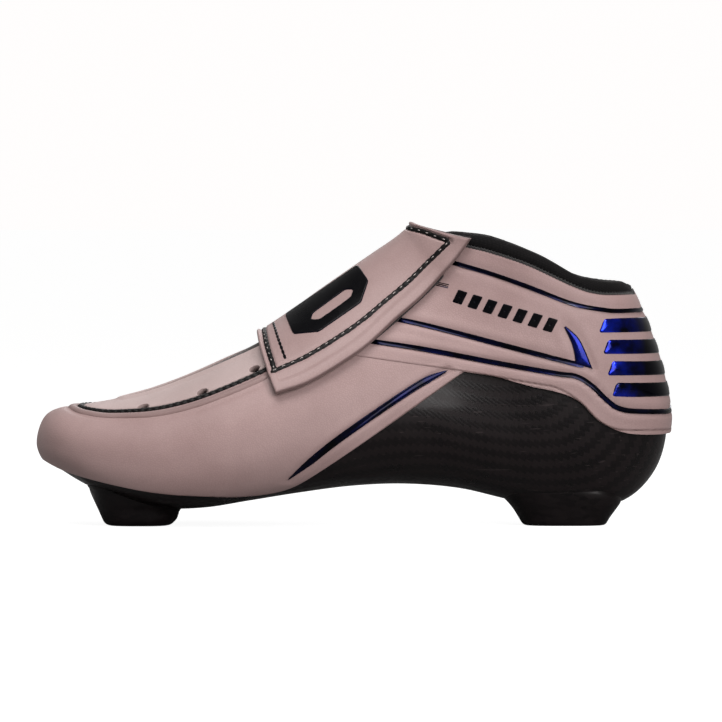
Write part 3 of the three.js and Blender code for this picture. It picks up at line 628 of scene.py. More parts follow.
def math_node(tree, what, a, b=0.0):
    return add_node(tree, "ShaderNodeMath", {0: a, 1: b}, operation=what).outputs[0]


def plus(tree, a, b):
    return math_node(tree, "ADD", a, b)


def minus(tree, a, b):
    return math_node(tree, "SUBTRACT", a, b)


def times(tree, a, b):
    return math_node(tree, "MULTIPLY", a, b)


def object_place(tree):
    return tree.nodes.new("ShaderNodeTexCoord").outputs["Object"]


def noise(tree, at, scale, detail=2.0, roughness=0.5):
    values = {"Vector": at, "Scale": scale, "Detail": detail, "Roughness": roughness}
    return add_node(tree, "ShaderNodeTexNoise", values).outputs["Fac"]


def ramp(tree, value, low, high):
    """A smooth step from 0 at low to 1 at high."""
    inputs = {"Value": value, "From Min": low, "From Max": high}
    return add_node(tree, "ShaderNodeMapRange", inputs, interpolation_type="SMOOTHSTEP").outputs[0]


def mix_colour(tree, share, one, two):
    return add_node(tree, "ShaderNodeMix", {0: share, 6: one, 7: two}, data_type="RGBA").outputs[2]


def tinted(tree, colour, mask, amount, other):
    """Colour goes towards other where the mask is, by at most amount."""
    return mix_colour(tree, times(tree, mask, amount), colour, other)


def place_group(tree, group, **values):
    return add_node(tree, "ShaderNodeGroup", {key.replace("_", " "): value for key, value in values.items()},
                    node_tree=group).outputs


# %% Shared effects
def grain_group():
    """Pebbles are Voronoi cells with sunk borders, fine pores are a finer Voronoi, mottle is slow noise."""
    tree, given, out = new_group("leather_grain", {"Cell": 900.0, "Pores": 2600.0}, ["Height", "Mottle"])
    at = object_place(tree)
    warp = add_node(tree, "ShaderNodeTexNoise", {"Vector": at, "Scale": 260.0, "Detail": 2.0})
    bent = add_node(tree, "ShaderNodeVectorMath", {0: warp.outputs["Color"], 1: (0.0006,) * 3}, operation="MULTIPLY")
    where = add_node(tree, "ShaderNodeVectorMath", {0: at, 1: bent.outputs[0]}, operation="ADD").outputs[0]
    cells = {"Vector": where, "Scale": given["Cell"]}
    border = add_node(tree, "ShaderNodeTexVoronoi", cells, feature="DISTANCE_TO_EDGE").outputs["Distance"]
    pores = add_node(tree, "ShaderNodeTexVoronoi", {"Vector": where, "Scale": given["Pores"]}, feature="F1")
    pebble = ramp(tree, border, 0.0, 0.22)
    fine = ramp(tree, pores.outputs["Distance"], 0.05, 0.4)
    height = plus(tree, times(tree, pebble, 0.7), times(tree, fine, 0.3))
    tree.links.new(height, out["Height"])
    tree.links.new(noise(tree, at, 38.0, 4.0, 0.55), out["Mottle"])
    return tree


def weave_group():
    """Two-over-two twill: the phase (across + down) shifts one quarter each pick; each float is a rounded ridge."""
    tree, given, out = new_group("twill_weave", {"Pitch": 0.0022}, ["Height", "Float Side"])
    flat = add_node(tree, "ShaderNodeUVMap", uv_map="cloth").outputs["UV"]
    parts = add_node(tree, "ShaderNodeSeparateXYZ", {"Vector": flat}).outputs
    across = math_node(tree, "DIVIDE", parts[0], given["Pitch"])
    down = math_node(tree, "DIVIDE", parts[1], given["Pitch"])
    pick = math_node(tree, "FLOOR", down)
    warp_on_top = math_node(tree, "LESS_THAN", math_node(tree, "FLOORED_MODULO",
                            plus(tree, math_node(tree, "FLOOR", across), pick), 4.0), 2.0)
    ridge_a = math_node(tree, "SINE", times(tree, math_node(tree, "FRACT", across), math.pi))
    ridge_b = math_node(tree, "SINE", times(tree, math_node(tree, "FRACT", down), math.pi))
    height = add_node(tree, "ShaderNodeMix", {0: warp_on_top, 2: ridge_b, 3: ridge_a}, data_type="FLOAT").outputs[0]
    tree.links.new(height, out["Height"])
    tree.links.new(warp_on_top, out["Float Side"])
    return tree


def knit_group():
    """Ribs along one way and loops along the other: |sin| of both, the loops shifted by half on every second rib."""
    tree, given, out = new_group("knit_loops", {"Rib": 0.0011, "Loop": 0.0009}, ["Height", "Fuzz"])
    at = object_place(tree)
    parts = add_node(tree, "ShaderNodeSeparateXYZ", {"Vector": at}).outputs
    way = plus(tree, parts[0], times(tree, parts[1], 0.8))
    across = math_node(tree, "DIVIDE", way, given["Rib"])
    half = times(tree, math_node(tree, "FLOORED_MODULO", math_node(tree, "FLOOR", across), 2.0), 0.5)
    down = plus(tree, math_node(tree, "DIVIDE", parts[2], given["Loop"]), half)
    rib = math_node(tree, "ABSOLUTE", math_node(tree, "SINE", times(tree, across, math.pi)))
    loop = math_node(tree, "ABSOLUTE", math_node(tree, "SINE", times(tree, down, math.pi)))
    fuzz = noise(tree, at, 2400.0, 3.0)
    height = plus(tree, times(tree, times(tree, rib, loop), 0.8),
                       times(tree, fuzz, 0.3))
    tree.links.new(height, out["Height"])
    tree.links.new(fuzz, out["Fuzz"])
    return tree


def rim_group():
    """1 at a panel's border and 0 past Width millimetres, with its limit frayed by noise."""
    tree, given, out = new_group("worn_rim", {"Width": 1.0, "Fray": 0.4}, ["Mask"])
    rim = add_node(tree, "ShaderNodeAttribute", attribute_name="rim", attribute_type="GEOMETRY").outputs["Fac"]
    at = object_place(tree)
    noise_value = noise(tree, at, 420.0, 3.0)
    frayed = plus(tree, rim, times(tree, minus(tree, noise_value, 0.5), given["Fray"]))
    tree.links.new(minus(tree, 1.0, ramp(tree, frayed, 0.0, given["Width"])), out["Mask"])
    return tree


def marks_group():
    """Handling marks: a few long thin scratches and broad smudges, both from stretched noise."""
    tree, given, out = new_group("handling_marks", {"Amount": 0.5}, ["Smudge", "Scratch"])
    at = object_place(tree)
    smudge = noise(tree, at, 55.0, 5.0, 0.6)
    long = add_node(tree, "ShaderNodeMapping",
                    {"Vector": at, "Rotation": (0.3, 0.5, 0.2), "Scale": (40.0, 900.0, 900.0)})
    streak = noise(tree, long.outputs[0], 1.0, 1.0)
    tree.links.new(times(tree, ramp(tree, smudge, 0.35, 0.75), given["Amount"]), out["Smudge"])
    tree.links.new(times(tree, ramp(tree, streak, 0.68, 0.74), given["Amount"]), out["Scratch"])
    return tree


GRAIN, WEAVE, KNIT, RIM, MARKS = grain_group(), weave_group(), knit_group(), rim_group(), marks_group()
print("shared effects:", [group.name for group in bpy.data.node_groups])


# %% Material maker
def new_finish(name, **constants):
    """A material with its shader's plain sockets set; returns the material, its tree and the shader."""
    paint = bpy.data.materials.new(name)
    paint.use_nodes = True
    shader = paint.node_tree.nodes["Principled BSDF"]
    for key, value in constants.items():
        shader.inputs[key.replace("_", " ")].default_value = value
    return paint, paint.node_tree, shader


def feed(tree, shader, colour, rough, height, strength, depth):
    """Links colour, roughness and a normal bumped by height; depth is in metres."""
    bump = add_node(tree, "ShaderNodeBump", {"Height": height, "Strength": strength, "Distance": depth})
    for key, value in (("Base Color", colour), ("Roughness", rough), ("Normal", bump.outputs["Normal"])):
        tree.links.new(value, shader.inputs[key])


# %% [markdown]
# ### Leather
# The upper is pale, slightly pink full-grain leather with a soft, even sheen. Its pores are under a millimetre. The
# cut edges are darker where the dye soaked in, and broad areas differ a little in warmth. The apron is the same
# leather
# in a paler colour: painted light, for the top of the instep, which faces up.

# %% Leather finishes
def leather(name, pale, deep, edge, rough=0.5, edge_width=1.1):
    """Colour between deep and pale by mottle, towards edge by the rim mask."""
    paint, tree, shader = new_finish(name, Sheen_Weight=0.12, Sheen_Roughness=0.5, Specular_IOR_Level=0.42)
    shader.inputs["Sheen Tint"].default_value = (1.0, 0.93, 0.92, 1)
    grain = place_group(tree, GRAIN, Cell=950.0, Pores=2700.0)
    marks = place_group(tree, MARKS, Amount=0.6)
    rim = place_group(tree, RIM, Width=edge_width, Fray=0.35)["Mask"]
    colour = mix_colour(tree, ramp(tree, grain["Mottle"], 0.1, 0.8), deep, pale)
    colour = tinted(tree, colour, marks["Smudge"], 0.1, deep)
    colour = mix_colour(tree, times(tree, minus(tree, 1.0, grain["Height"]), 0.16), colour, edge)
    colour = tinted(tree, colour, rim, 0.75, edge)
    gloss = plus(tree, rough, times(tree, minus(tree, grain["Mottle"], 0.5), 0.22))
    feed(tree, shader, colour, gloss, grain["Height"], 0.35, 0.00012)
    return paint


upper_leather = leather("upper_leather", (0.45, 0.31, 0.3, 1), (0.37, 0.245, 0.235, 1), (0.14, 0.085, 0.08, 1))
# painted light: the apron is the upper leather, given a paler colour where the instep faces up
apron_leather_painted_lighter = leather("apron_leather_painted_lighter", (0.56, 0.44, 0.425, 1), (0.48, 0.365, 0.35, 1), (0.2, 0.14, 0.13, 1), 0.56)
flap_leather = leather("flap_leather", (0.43, 0.3, 0.29, 1), (0.36, 0.24, 0.23, 1), (0.13, 0.08, 0.075, 1), 0.46, 0.8)
# painted shade: the rolled bead is vamp leather, given a darker copy of its colour
bead_leather_painted_shade = leather("bead_leather_painted_shade", (0.34, 0.23, 0.22, 1), (0.26, 0.17, 0.16, 1), (0.12, 0.075, 0.07, 1), 0.5)

# %% [markdown]
# ### Carbon
# The shell is woven carbon under clear resin. The two thread directions of the twill shine at different angles; the
# floats differ a little in roughness, and their two colours are a painted reflection of that shine. The clear coat
# carries the smudges.

# %% Carbon finish
def carbon(name, pitch=0.0027):
    """Twill floats in two near-blacks, a painted reflection of the two thread directions; a resin coat; smudges in
    the coat's roughness.
    """
    paint, tree, shader = new_finish(name, Coat_Weight=0.16, Coat_Roughness=0.12, Specular_IOR_Level=0.16)
    weave = place_group(tree, WEAVE, Pitch=pitch)
    marks = place_group(tree, MARKS, Amount=0.8)
    # painted reflection: the two near-blacks stand for the two thread directions catching the light differently
    colour = mix_colour(tree, weave["Float Side"], (0.0035, 0.0022, 0.0026, 1), (0.0085, 0.0055, 0.006, 1))
    colour = tinted(tree, colour, marks["Smudge"], 0.3, (0.014, 0.009, 0.0095, 1))
    colour = tinted(tree, colour, marks["Scratch"], 0.25, (0.09, 0.07, 0.07, 1))
    rough = plus(tree, 0.26, times(tree, weave["Float Side"], 0.1))
    rough = plus(tree, rough, times(tree, marks["Smudge"], 0.2))
    feed(tree, shader, colour, rough, weave["Height"], 0.16, 0.00012)
    return paint


carbon_weave = carbon("carbon_weave")


def resin(name):
    """The mounting pads are moulded from chopped carbon: short flakes, each with its own shade."""
    paint, tree, shader = new_finish(name, Coat_Weight=0.12, Coat_Roughness=0.16, Specular_IOR_Level=0.14)
    at = object_place(tree)
    long = add_node(tree, "ShaderNodeMapping", {"Vector": at, "Scale": (1.0, 1.0, 2.2)}).outputs[0]
    flakes = add_node(tree, "ShaderNodeTexVoronoi", {"Vector": long, "Scale": 260.0}, feature="F1")
    shade = add_node(tree, "ShaderNodeSeparateColor", {"Color": flakes.outputs["Color"]}).outputs[0]
    marks = place_group(tree, MARKS, Amount=0.8)
    rim = place_group(tree, RIM, Width=0.9, Fray=0.6)["Mask"]
    colour = mix_colour(tree, shade, (0.0022, 0.0013, 0.0016, 1), (0.006, 0.0038, 0.0042, 1))
    colour = tinted(tree, colour, marks["Smudge"], 0.3, (0.014, 0.009, 0.0095, 1))
    colour = tinted(tree, colour, rim, 0.25, (0.04, 0.03, 0.03, 1))
    rough = plus(tree, 0.3, times(tree, shade, 0.2))
    feed(tree, shader, colour, rough, flakes.outputs["Distance"], 0.12, 0.0001)
    return paint


moulded_carbon = resin("moulded_carbon")

# %% [markdown]
# ### Foil and gloss
# The stripes and the heel bars are metal foil under lacquer: dark where they face away, bright where the studio
# lamps meet their rounded edges. On the heel bars some of this is painted: their colour goes over from bright in
# front to deep behind the heel's bend, a painted reflection. The marks on the flap and the side are plain black
# lacquer.

# %% Foil finishes
def foil(name, deep, bright, rough, coat, metal=1.0, mirror=0.2, painted_reflection_fade=None):
    """Colour between deep and bright in slow patches with fine brushed relief, darker along the rim.
    The last argument gives the two x in metres between which the colour goes over to deep: a painted reflection,
    which on the bars is bright in front of the heel's bend and dark behind it."""
    paint, tree, shader = new_finish(name, Metallic=metal, Coat_Weight=coat, Coat_Roughness=0.06,
                                     Specular_IOR_Level=mirror)
    at = object_place(tree)
    marks = place_group(tree, MARKS, Amount=0.7)
    rim = place_group(tree, RIM, Width=0.55, Fray=0.25)["Mask"]
    slow = noise(tree, at, 120.0, 4.0)
    brushed = add_node(tree, "ShaderNodeMapping", {"Vector": at, "Scale": (120.0, 120.0, 3000.0)}).outputs[0]
    fine = noise(tree, brushed, 1.0, 2.0)
    colour = mix_colour(tree, ramp(tree, slow, 0.3, 0.72), deep, bright)
    # painted reflection: past these x the colour goes over to the deep one
    if painted_reflection_fade:
        along = tree.nodes.new("ShaderNodeSeparateXYZ")
        tree.links.new(at, along.inputs[0])
        share = add_node(tree, "ShaderNodeMapRange",
                         {"Value": along.outputs["X"], "From Min": painted_reflection_fade[0], "From Max": painted_reflection_fade[1]})
        colour = mix_colour(tree, share.outputs[0], colour, deep)
    colour = tinted(tree, colour, rim, 0.7, (0.004, 0.004, 0.012, 1))
    shine = plus(tree, rough, times(tree, marks["Smudge"], 0.2))
    feed(tree, shader, colour, shine, plus(tree, slow, times(tree, fine, 0.12)), 0.18, 0.0002)
    return paint


# The heel bars' colour is a painted reflection: bright in front, deep behind the heel's bend.
blue_foil = foil("blue_foil", (0.0006, 0.001, 0.008, 1), (0.008, 0.03, 0.75, 1), rough=0.15, coat=0.25,
                 painted_reflection_fade=(0.117, 0.132))
wedge_foil = foil("wedge_foil", (0.001, 0.0015, 0.012, 1), (0.004, 0.01, 0.16, 1), rough=0.16, coat=0.2)
stripe_foil = foil("stripe_foil", (0.001, 0.001, 0.002, 1), (0.002, 0.003, 0.03, 1), rough=0.17, coat=0.2)
black_lacquer = foil("black_lacquer", (0.0012, 0.0012, 0.002, 1), (0.003, 0.003, 0.004, 1), metal=0.0, rough=0.24,
                     coat=0.03, mirror=0.08)

# %% [markdown]
# ### Cloth, thread, rubber and steel
# The collar and the tongue are covered in a fine knit, the lining is a brushed mesh, and the fastening is a field of
# hooks facing a field of loops. Sewing thread is twisted, so its relief runs slantwise.

# %% Cloth finishes
def cloth(name, dark, light, rib, loop, rough=0.9, strength=0.6, sheen=0.5):
    """A knit of that rib and loop in metres, paler on its crests and where it is smudged."""
    paint, tree, shader = new_finish(name, Sheen_Weight=sheen, Sheen_Roughness=0.35, Specular_IOR_Level=0.25)
    shader.inputs["Sheen Tint"].default_value = (0.75, 0.7, 0.7, 1)
    knit = place_group(tree, KNIT, Rib=rib, Loop=loop)
    marks = place_group(tree, MARKS, Amount=0.8)
    colour = mix_colour(tree, knit["Height"], dark, light)
    colour = tinted(tree, colour, marks["Smudge"], 0.25, light)
    gloss = plus(tree, rough - 0.1, times(tree, knit["Fuzz"], 0.2))
    feed(tree, shader, colour, gloss, knit["Height"], strength, 0.0003)
    return paint


collar_knit = cloth("collar_knit", (0.0012, 0.001, 0.0012, 1), (0.006, 0.005, 0.0055, 1), 0.0013, 0.0011, sheen=0.08)
tongue_knit = cloth("tongue_knit", (0.03, 0.027, 0.027, 1), (0.12, 0.105, 0.1, 1), 0.0012, 0.001)
lining_mesh = cloth("lining_mesh", (0.006, 0.0055, 0.006, 1), (0.03, 0.027, 0.028, 1), 0.0018, 0.0015, sheen=0.35)
insole_cloth = cloth("insole_cloth", (0.02, 0.019, 0.021, 1), (0.07, 0.066, 0.07, 1), 0.001, 0.001, sheen=0.3)
hook_field = cloth("hook_field", (0.003, 0.003, 0.003, 1), (0.05, 0.046, 0.046, 1), 0.0012, 0.0012, 0.7, 1.0, 0.2)
loop_field = cloth("loop_field", (0.004, 0.004, 0.004, 1), (0.04, 0.037, 0.037, 1), 0.0007, 0.0007, 0.95, 1.0, 0.8)


def thread(name, dark, light):
    """Twisted plies: a slanted wave along Object coordinates."""
    paint, tree, shader = new_finish(name, Sheen_Weight=0.3)
    at = object_place(tree)
    wave = {"Vector": at, "Scale": 420.0, "Distortion": 1.5}
    ply = add_node(tree, "ShaderNodeTexWave", wave, bands_direction="DIAGONAL").outputs["Fac"]
    fuzz = noise(tree, at, 1500.0)
    colour = mix_colour(tree, ply, dark, light)
    feed(tree, shader, colour, plus(tree, 0.55, times(tree, fuzz, 0.3)), ply, 0.5, 0.0001)
    return paint


black_thread = thread("black_thread", (0.002, 0.002, 0.002, 1), (0.02, 0.018, 0.018, 1))
pale_thread = thread("pale_thread", (0.3, 0.26, 0.25, 1), (0.72, 0.66, 0.63, 1))


def rubber(name):
    """Black seam filler with a fine pitted face."""
    paint, tree, shader = new_finish(name, Specular_IOR_Level=0.2)
    at = object_place(tree)
    pits = noise(tree, at, 900.0, 4.0)
    marks = place_group(tree, MARKS, Amount=0.8)
    colour = mix_colour(tree, pits, (0.001, 0.001, 0.001, 1), (0.004, 0.0035, 0.0035, 1))
    colour = tinted(tree, colour, marks["Smudge"], 0.4, (0.03, 0.025, 0.025, 1))
    feed(tree, shader, colour, plus(tree, 0.34, times(tree, pits, 0.25)), pits, 0.3, 0.00015)
    return paint


seam_rubber = rubber("seam_rubber")


def steel(name):
    """Turned steel: fine rings about the bolt's axis, with dull patches."""
    paint, tree, shader = new_finish(name, Metallic=1.0)
    at = object_place(tree)
    dull = noise(tree, at, 350.0, 4.0)
    rings = add_node(tree, "ShaderNodeTexWave", {"Vector": at, "Scale": 900.0, "Distortion": 0.6},
                     bands_direction="Z")
    colour = mix_colour(tree, dull, (0.22, 0.22, 0.23, 1), (0.46, 0.455, 0.45, 1))
    feed(tree, shader, colour, plus(tree, 0.24, times(tree, dull, 0.3)), rings.outputs["Fac"], 0.2, 0.00008)
    return paint


turned_steel = steel("turned_steel")
print(len(bpy.data.materials), "materials")

# %% [markdown]
# ## The drawn lines
# All seams and edges are drawn once, in the side view (x, z) or from above (x, half width), and laid on the last.
# Lines that run off the last's outline are cut there, at the instep's or the sole's middle line.

# %% Side-view lines, in millimetres
VAMP_LOWER = [[-140.3, 30.05], [-139, 29.5], [-124.5, 24], [-93, 17.3], [-62, 15.6], [-43, 16.3], [-28.5, 19.4],
              [-12.3, 28.5], [16.2, 47.1], [49.4, 70.3]]
WRAP_LOWER = [[-26, 81.5], [-1.2, 77], [49.4, 70.3], [81.7, 65], [92, 62.8], [101.3, 57], [109.8, 48.5],
              [118, 44.6], [130, 43.9], [150, 43.9]]
LEATHER_TOP = [[20, 130], [41, 128.8], [53.4, 126.2], [62.3, 124.1], [78.5, 118.5], [98.9, 108.7], [108, 105.6],
               [117.6, 104.7], [140, 104.9]]
COLLAR_TOP = [[18, 136.4], [36, 134.4], [49, 133], [62.6, 130.7], [84.4, 122.7], [100.8, 114], [111.8, 111.8],
              [121, 111], [127, 108.5], [140, 104.9]]
FLAP_FREE = [[-34.8, 58.4], [-20.5, 63.6], [-5, 72.6], [7, 81], [19, 91.8], [31.4, 102.4], [43.5, 115.4], [50, 123.4],
             [54.8, 130.8]]
FLAP_FRONT = [[-34.8, 58.4], [-37.6, 65.8], [-40.7, 77.2], [-41.8, 83.4]]
FLAP_REAR = [[54.8, 130.8], [42, 132.8], [30.2, 134.6]]
HINGE = [[-41.5, 80], [53.5, 108]]
APRON_HALF = [[-123.5, 0], [-122.3, 6.5], [-117.5, 14], [-107, 21.5], [-84, 30.5], [-63, 34], [-40, 33], [-10, 27],
              [42, 18]]
THROAT_HALF = [[-104, 0.8], [-101, 3.2], [-90, 5.5], [-70, 8.5], [-40, 13], [0, 15.5], [34, 16.5], [60, 17]]
THROAT_MIDDLE = 2.5  # the throat follows the foot's ridge, a little to the inner side
SEAM_WIDTH = 2.2
BARE = 1e-4  # radians from the middle line at which a point counts as off the outline


def drawn(points, per_span=10, smooth=True):
    """A side-view line as (u, angle) on the outer side, cut one sample past the last's outline at either end."""
    flat = spline(points, per_span) if smooth else resample(np.asarray(points, float), np.linspace(0, 1, 60))
    line = from_side(flat)
    on = np.flatnonzero((line[:, 1] < np.pi - BARE) & (line[:, 1] > BARE))
    line = line[max(on[0] - 1, 0):on[-1] + 2]
    line[line[:, 1] >= np.pi - BARE, 1] = np.pi
    return line


def above_line(half, distance=0.0):
    """A half width drawn from above, as one (u, angle) line from the outer rear round the front to the inner rear."""
    flat = spline(half, 12)
    wide = shifted(flat, distance)
    wide[0] = [flat[0, 0] - distance, 0.0]
    wide = np.vstack([wide, wide[-1] + np.outer(np.arange(0.25, 20, 0.25), [1, 0])])
    outer = wide[::-1] * [1, -1] + [0, THROAT_MIDDLE]
    inner = wide[1:] + [0, THROAT_MIDDLE]
    return from_above(np.vstack([outer, inner]))


def whole(line):
    """An outer-side line that ends at the sole's middle, continued as its mirror image on the inner side."""
    return np.vstack([line, other_side(line[::-1])[1:]])


def rising(line):
    """The line without the points at which u falls back."""
    return line[np.concatenate([[True], np.diff(np.maximum.accumulate(line[:, 0])) > 1e-6])]


def nearest(one, two):
    """Indices of the nearest points of two (u, angle) lines."""
    p, q = on_last(*one.T), on_last(*two.T)
    return np.unravel_index(np.linalg.norm(p[:, None] - q[None], axis=2).argmin(), (len(p), len(q)))


vamp_lower = drawn(VAMP_LOWER)
vamp_lower[0, 1] = np.pi
wrap_lower = drawn(WRAP_LOWER)
leather_top = drawn(LEATHER_TOP)
collar_top = drawn(COLLAR_TOP)
wrap_lower[-1, 1] = leather_top[-1, 1] = collar_top[-1, 1] = np.pi
leather_top[0, 1] = collar_top[0, 1] = 0.0
print("toe edge u", round(vamp_lower[0, 0], 2), "heel edge u", round(wrap_lower[-1, 0], 2),
      "top u", round(leather_top[-1, 0], 2), round(collar_top[-1, 0], 2))

# %% [markdown]
# ## Carbon shell
# The shell is laid up in a mould from woven carbon, 1.6 mm thick, and everything else is bonded to it. Its rim runs
# under the leather. Rows go round the foot at constant u, from the outer rim under the sole to the inner rim, so
# the rim is exact; before the rim begins at the toe, rows are whole rings.

# %% Sole-side grids
TOE_ROWS = 14  # rows crowded round the tip of the toe


def bowl(name, rim_line, inside, outside, rows=150, columns=110, edge=0.5):
    """Rows at constant u from the rim's angle to its mirror image; whole rings before the rim starts."""
    order = np.argsort(rim_line[:, 0])
    rim_u, rim_angle = rim_line[order].T
    u = np.concatenate([np.linspace(0, 1, TOE_ROWS) ** 1.5, np.linspace(1, rim_u[-1], rows - TOE_ROWS)[1:]])
    start = np.interp(u, rim_u, rim_angle, left=0.0)
    t = shares(columns, 0.006)[None]
    angle = start[:, None] + (2 * np.pi - 2 * start[:, None]) * t
    polar = np.stack([np.broadcast_to(u[:, None], angle.shape), angle], -1)
    opening = max(int((start <= 1e-9).sum()) - 1, 0)  # the first row that is not a whole ring
    d = border_distance(lift(polar, outside)[opening:])
    d = np.vstack([np.full((opening, columns), d.max()), d])
    top, base = lift(polar, outside - sunk_edge(d, edge)), lift(polar, inside)
    n, m = polar.shape[:2]
    number = np.arange(n * m).reshape(n, m)
    upper, under = number[opening:], number[opening:] + n * m
    quads = [grid_faces(n, m), grid_faces(n, m, n * m)[:, ::-1]]
    quads += [strip_faces(upper[:, 0], under[:, 0]), strip_faces(under[:, -1], upper[:, -1])]
    around = run_across(top, 1)
    around -= around[:, [m // 2]]
    along = run_of(top[:, m // 2])[:, None]
    slant = np.stack([around + along, around - along], -1).reshape(-1, 2) * MM * math.sqrt(0.5)
    notes = {"rim": np.concatenate([d.ravel(), np.zeros(d.size)]), "cloth": np.vstack([slant, slant])}
    return make_piece(name, np.vstack([top.reshape(-1, 3), base.reshape(-1, 3)]), np.vstack(quads), notes)


# %% Cuts
def apply_modifiers(piece):
    """Replaces the mesh by what its modifiers make of it."""
    bpy.context.view_layer.update()
    made = bpy.data.meshes.new_from_object(piece.evaluated_get(bpy.context.evaluated_depsgraph_get()))
    piece.modifiers.clear()
    old, piece.data = piece.data, made
    name = old.name
    bpy.data.meshes.remove(old)
    piece.data.name = name


def cut_with(piece, cutters):
    """Boolean difference with each cutter, applied at once; the cutters are then removed."""
    for cutter in cutters:
        tool = piece.modifiers.new("cut", "BOOLEAN")
        tool.object, tool.operation, tool.solver = cutter, "DIFFERENCE", "EXACT"
    apply_modifiers(piece)
    for cutter in cutters:
        spare = cutter.data
        bpy.data.objects.remove(cutter)
        bpy.data.meshes.remove(spare)


def lathe(name, profile, centre, turn=None, segments=48):
    """Rings of (radius, height) about an axis through centre; the profile is closed, so the solid is a ring."""
    a = np.arange(segments) * 2 * np.pi / segments
    r, h = np.asarray(profile, float).T
    local = np.stack(np.broadcast_arrays(r[:, None] * np.cos(a), r[:, None] * np.sin(a), h[:, None]), -1)
    if turn is not None:
        local = local @ turn.T
    points = (local + np.asarray(centre)).reshape(-1, 3)
    quads = grid_faces(len(r), segments, 0, True)
    last = np.arange(segments) + (len(r) - 1) * segments
    quads = np.vstack([quads, strip_faces(np.append(last, last[0]), np.append(np.arange(segments), 0))])
    cloth_value = np.stack(np.broadcast_arrays(a * 5, h[:, None]), -1).reshape(-1, 2) * MM
    return make_piece(name, points, quads, {"rim": np.full(len(points), 2.0), "cloth": cloth_value}, 35)


def plug(radius, low, high, centre, turn=None):
    """A plain cutter for holes, given as a lathe with a nearly closed middle."""
    profile = [(radius, low), (radius, high), (1e-4, high), (1e-4, low)]
    return lathe("cutter", profile, centre, turn, 32)


# %% The shell
CARBON_RISE = 7.0  # the shell's rim lies this far up under the leather
under_vamp, under_heel = (shifted(spline(line), CARBON_RISE) for line in (VAMP_LOWER, WRAP_LOWER))
shell_rim = drawn(np.vstack([under_vamp[:-16], [[30, 72]], under_heel[22:]]), smooth=False)
shell_rim[-1, 1] = np.pi
shell_rim = rising(shell_rim)
BOLTS = [-99.0, 96.0]
HOLE_RADIUS, FLANGE_RADIUS = 5.3, 8.3  # round an insert's barrel and its flange, with room to spare
shell = bowl("shell_layup", shell_rim, -1.6, 0.0)
cut_with(shell, [plug(HOLE_RADIUS, 0, 26, (x, 0, 0)) for x in BOLTS])
settle(shell, "boot", ["carbon_shell"], carbon_weave)

# %% [markdown]
# ## Mounting pads and their inserts
# Under the ball and the heel a pad of moulded carbon carries the frame. Each pad is a stack of rounded outlines that
# flares into the shell, ending in a flat sole with a bevelled border and a bolt hole. The outlines are
# superellipses; a smooth curve through the levels makes the flare, and the rows then run in across the flat sole
# and up the bolt hole, so the solid is a ring.

# %% Mounting pads
# height, front x, rear x, half width
FRONT_PAD = [[24, -108, -84, 16], [19, -120.5, -70.5, 25], [16.5, -120.6, -70.2, 25.2], [14, -119.8, -71.4, 24.6],
             [10, -118, -75.5, 23.5], [7, -116.6, -78.6, 22.5], [3, -114.8, -80.6, 22], [1.2, -113.8, -82.2, 21.6],
             [0.3, -112.6, -83.4, 20.9], [0, -111.5, -84.5, 20]]
HEEL_PAD = [[21, 64, 110, 15], [17.5, 57, 119, 21.4], [15.5, 62, 121.4, 21.6], [13, 66.8, 122, 21.2],
            [10, 70, 121, 20.4], [7, 72.4, 119, 19.4], [3.5, 74.6, 116.4, 18.5], [1.2, 76, 115, 18.0],
            [0.3, 76.9, 114.2, 17.5], [0, 77.6, 113.4, 17]]
PAD_SQUARENESS = 3.2
PAD_POINTS = 128


def pad(name, levels, bolt_x, notch=0.0):
    """Ring radius (|cos|^n + |sin|^n)^(-1/n) for each level; the last rings shrink to the hole and rise inside it.
    notch is how deep a shallow step cuts into the rear face of the lower levels."""
    level = spline(levels, 6)
    a = np.arange(PAD_POINTS) * 2 * np.pi / PAD_POINTS
    c, s = np.cos(a), np.sin(a)
    reach = (np.abs(c) ** PAD_SQUARENESS + np.abs(s) ** PAD_SQUARENESS) ** (-1 / PAD_SQUARENESS)
    z, front, rear, half = (column[:, None] for column in level.T)
    x = (front + rear) / 2 + (rear - front) / 2 * c * reach
    if notch:
        lip = np.clip((c - 0.75) / 0.2, 0, 1) * np.clip(1 - np.abs(s) / 0.42, 0, 1) ** 0.3
        x = x - notch * lip * np.exp(-((z - 8.5) / 3.4) ** 2)
    rings = [np.stack(np.broadcast_arrays(x, half * s * reach, z), -1)]
    flat = rings[0][-1]
    hole = np.stack([bolt_x + HOLE_RADIUS * c, HOLE_RADIUS * s, np.zeros(PAD_POINTS)], -1)
    for share in (0.02, 0.2, 0.45, 0.7, 0.88):
        rings.append((flat + (hole - flat) * share)[None])
    for z_up, grow in ((0.0, 0.9), (0.25, 0.25), (0.9, 0.0), (6.0, 0.0), (14.0, 0.0), (rings[0][0, 0, 2], 0.0)):
        radius = HOLE_RADIUS + grow
        rings.append(np.stack([bolt_x + radius * c, radius * s, np.full(PAD_POINTS, z_up)], -1)[None])
    points = np.concatenate(rings)
    n = len(points)
    quads = grid_faces(n, PAD_POINTS, 0, True)
    last, first = np.arange(PAD_POINTS) + (n - 1) * PAD_POINTS, np.arange(PAD_POINTS)
    quads = np.vstack([quads, strip_faces(np.append(last, last[0]), np.append(first, 0))])
    heights = points[..., 2].reshape(-1)
    rim = np.where(np.arange(len(heights)) < len(level) * PAD_POINTS, np.abs(heights - 0.2) * 1.5, 2.0)
    flat_map = points.reshape(-1, 3)[:, [0, 2]] * MM
    return make_piece(name, points.reshape(-1, 3), quads, {"rim": rim, "cloth": flat_map}, 50)


settle(pad("front_pad", FRONT_PAD, BOLTS[0], notch=1.2), "boot", ["front_mount_block"],
       moulded_carbon)
settle(pad("heel_pad", HEEL_PAD, BOLTS[1]), "boot", ["heel_mount_block"], moulded_carbon)

# %% [markdown]
# The frame is bolted into threaded inserts. A lathe profile gives the barrel a bevelled mouth, a flange that rests
# inside the shell, and inside it the ridges of the thread.

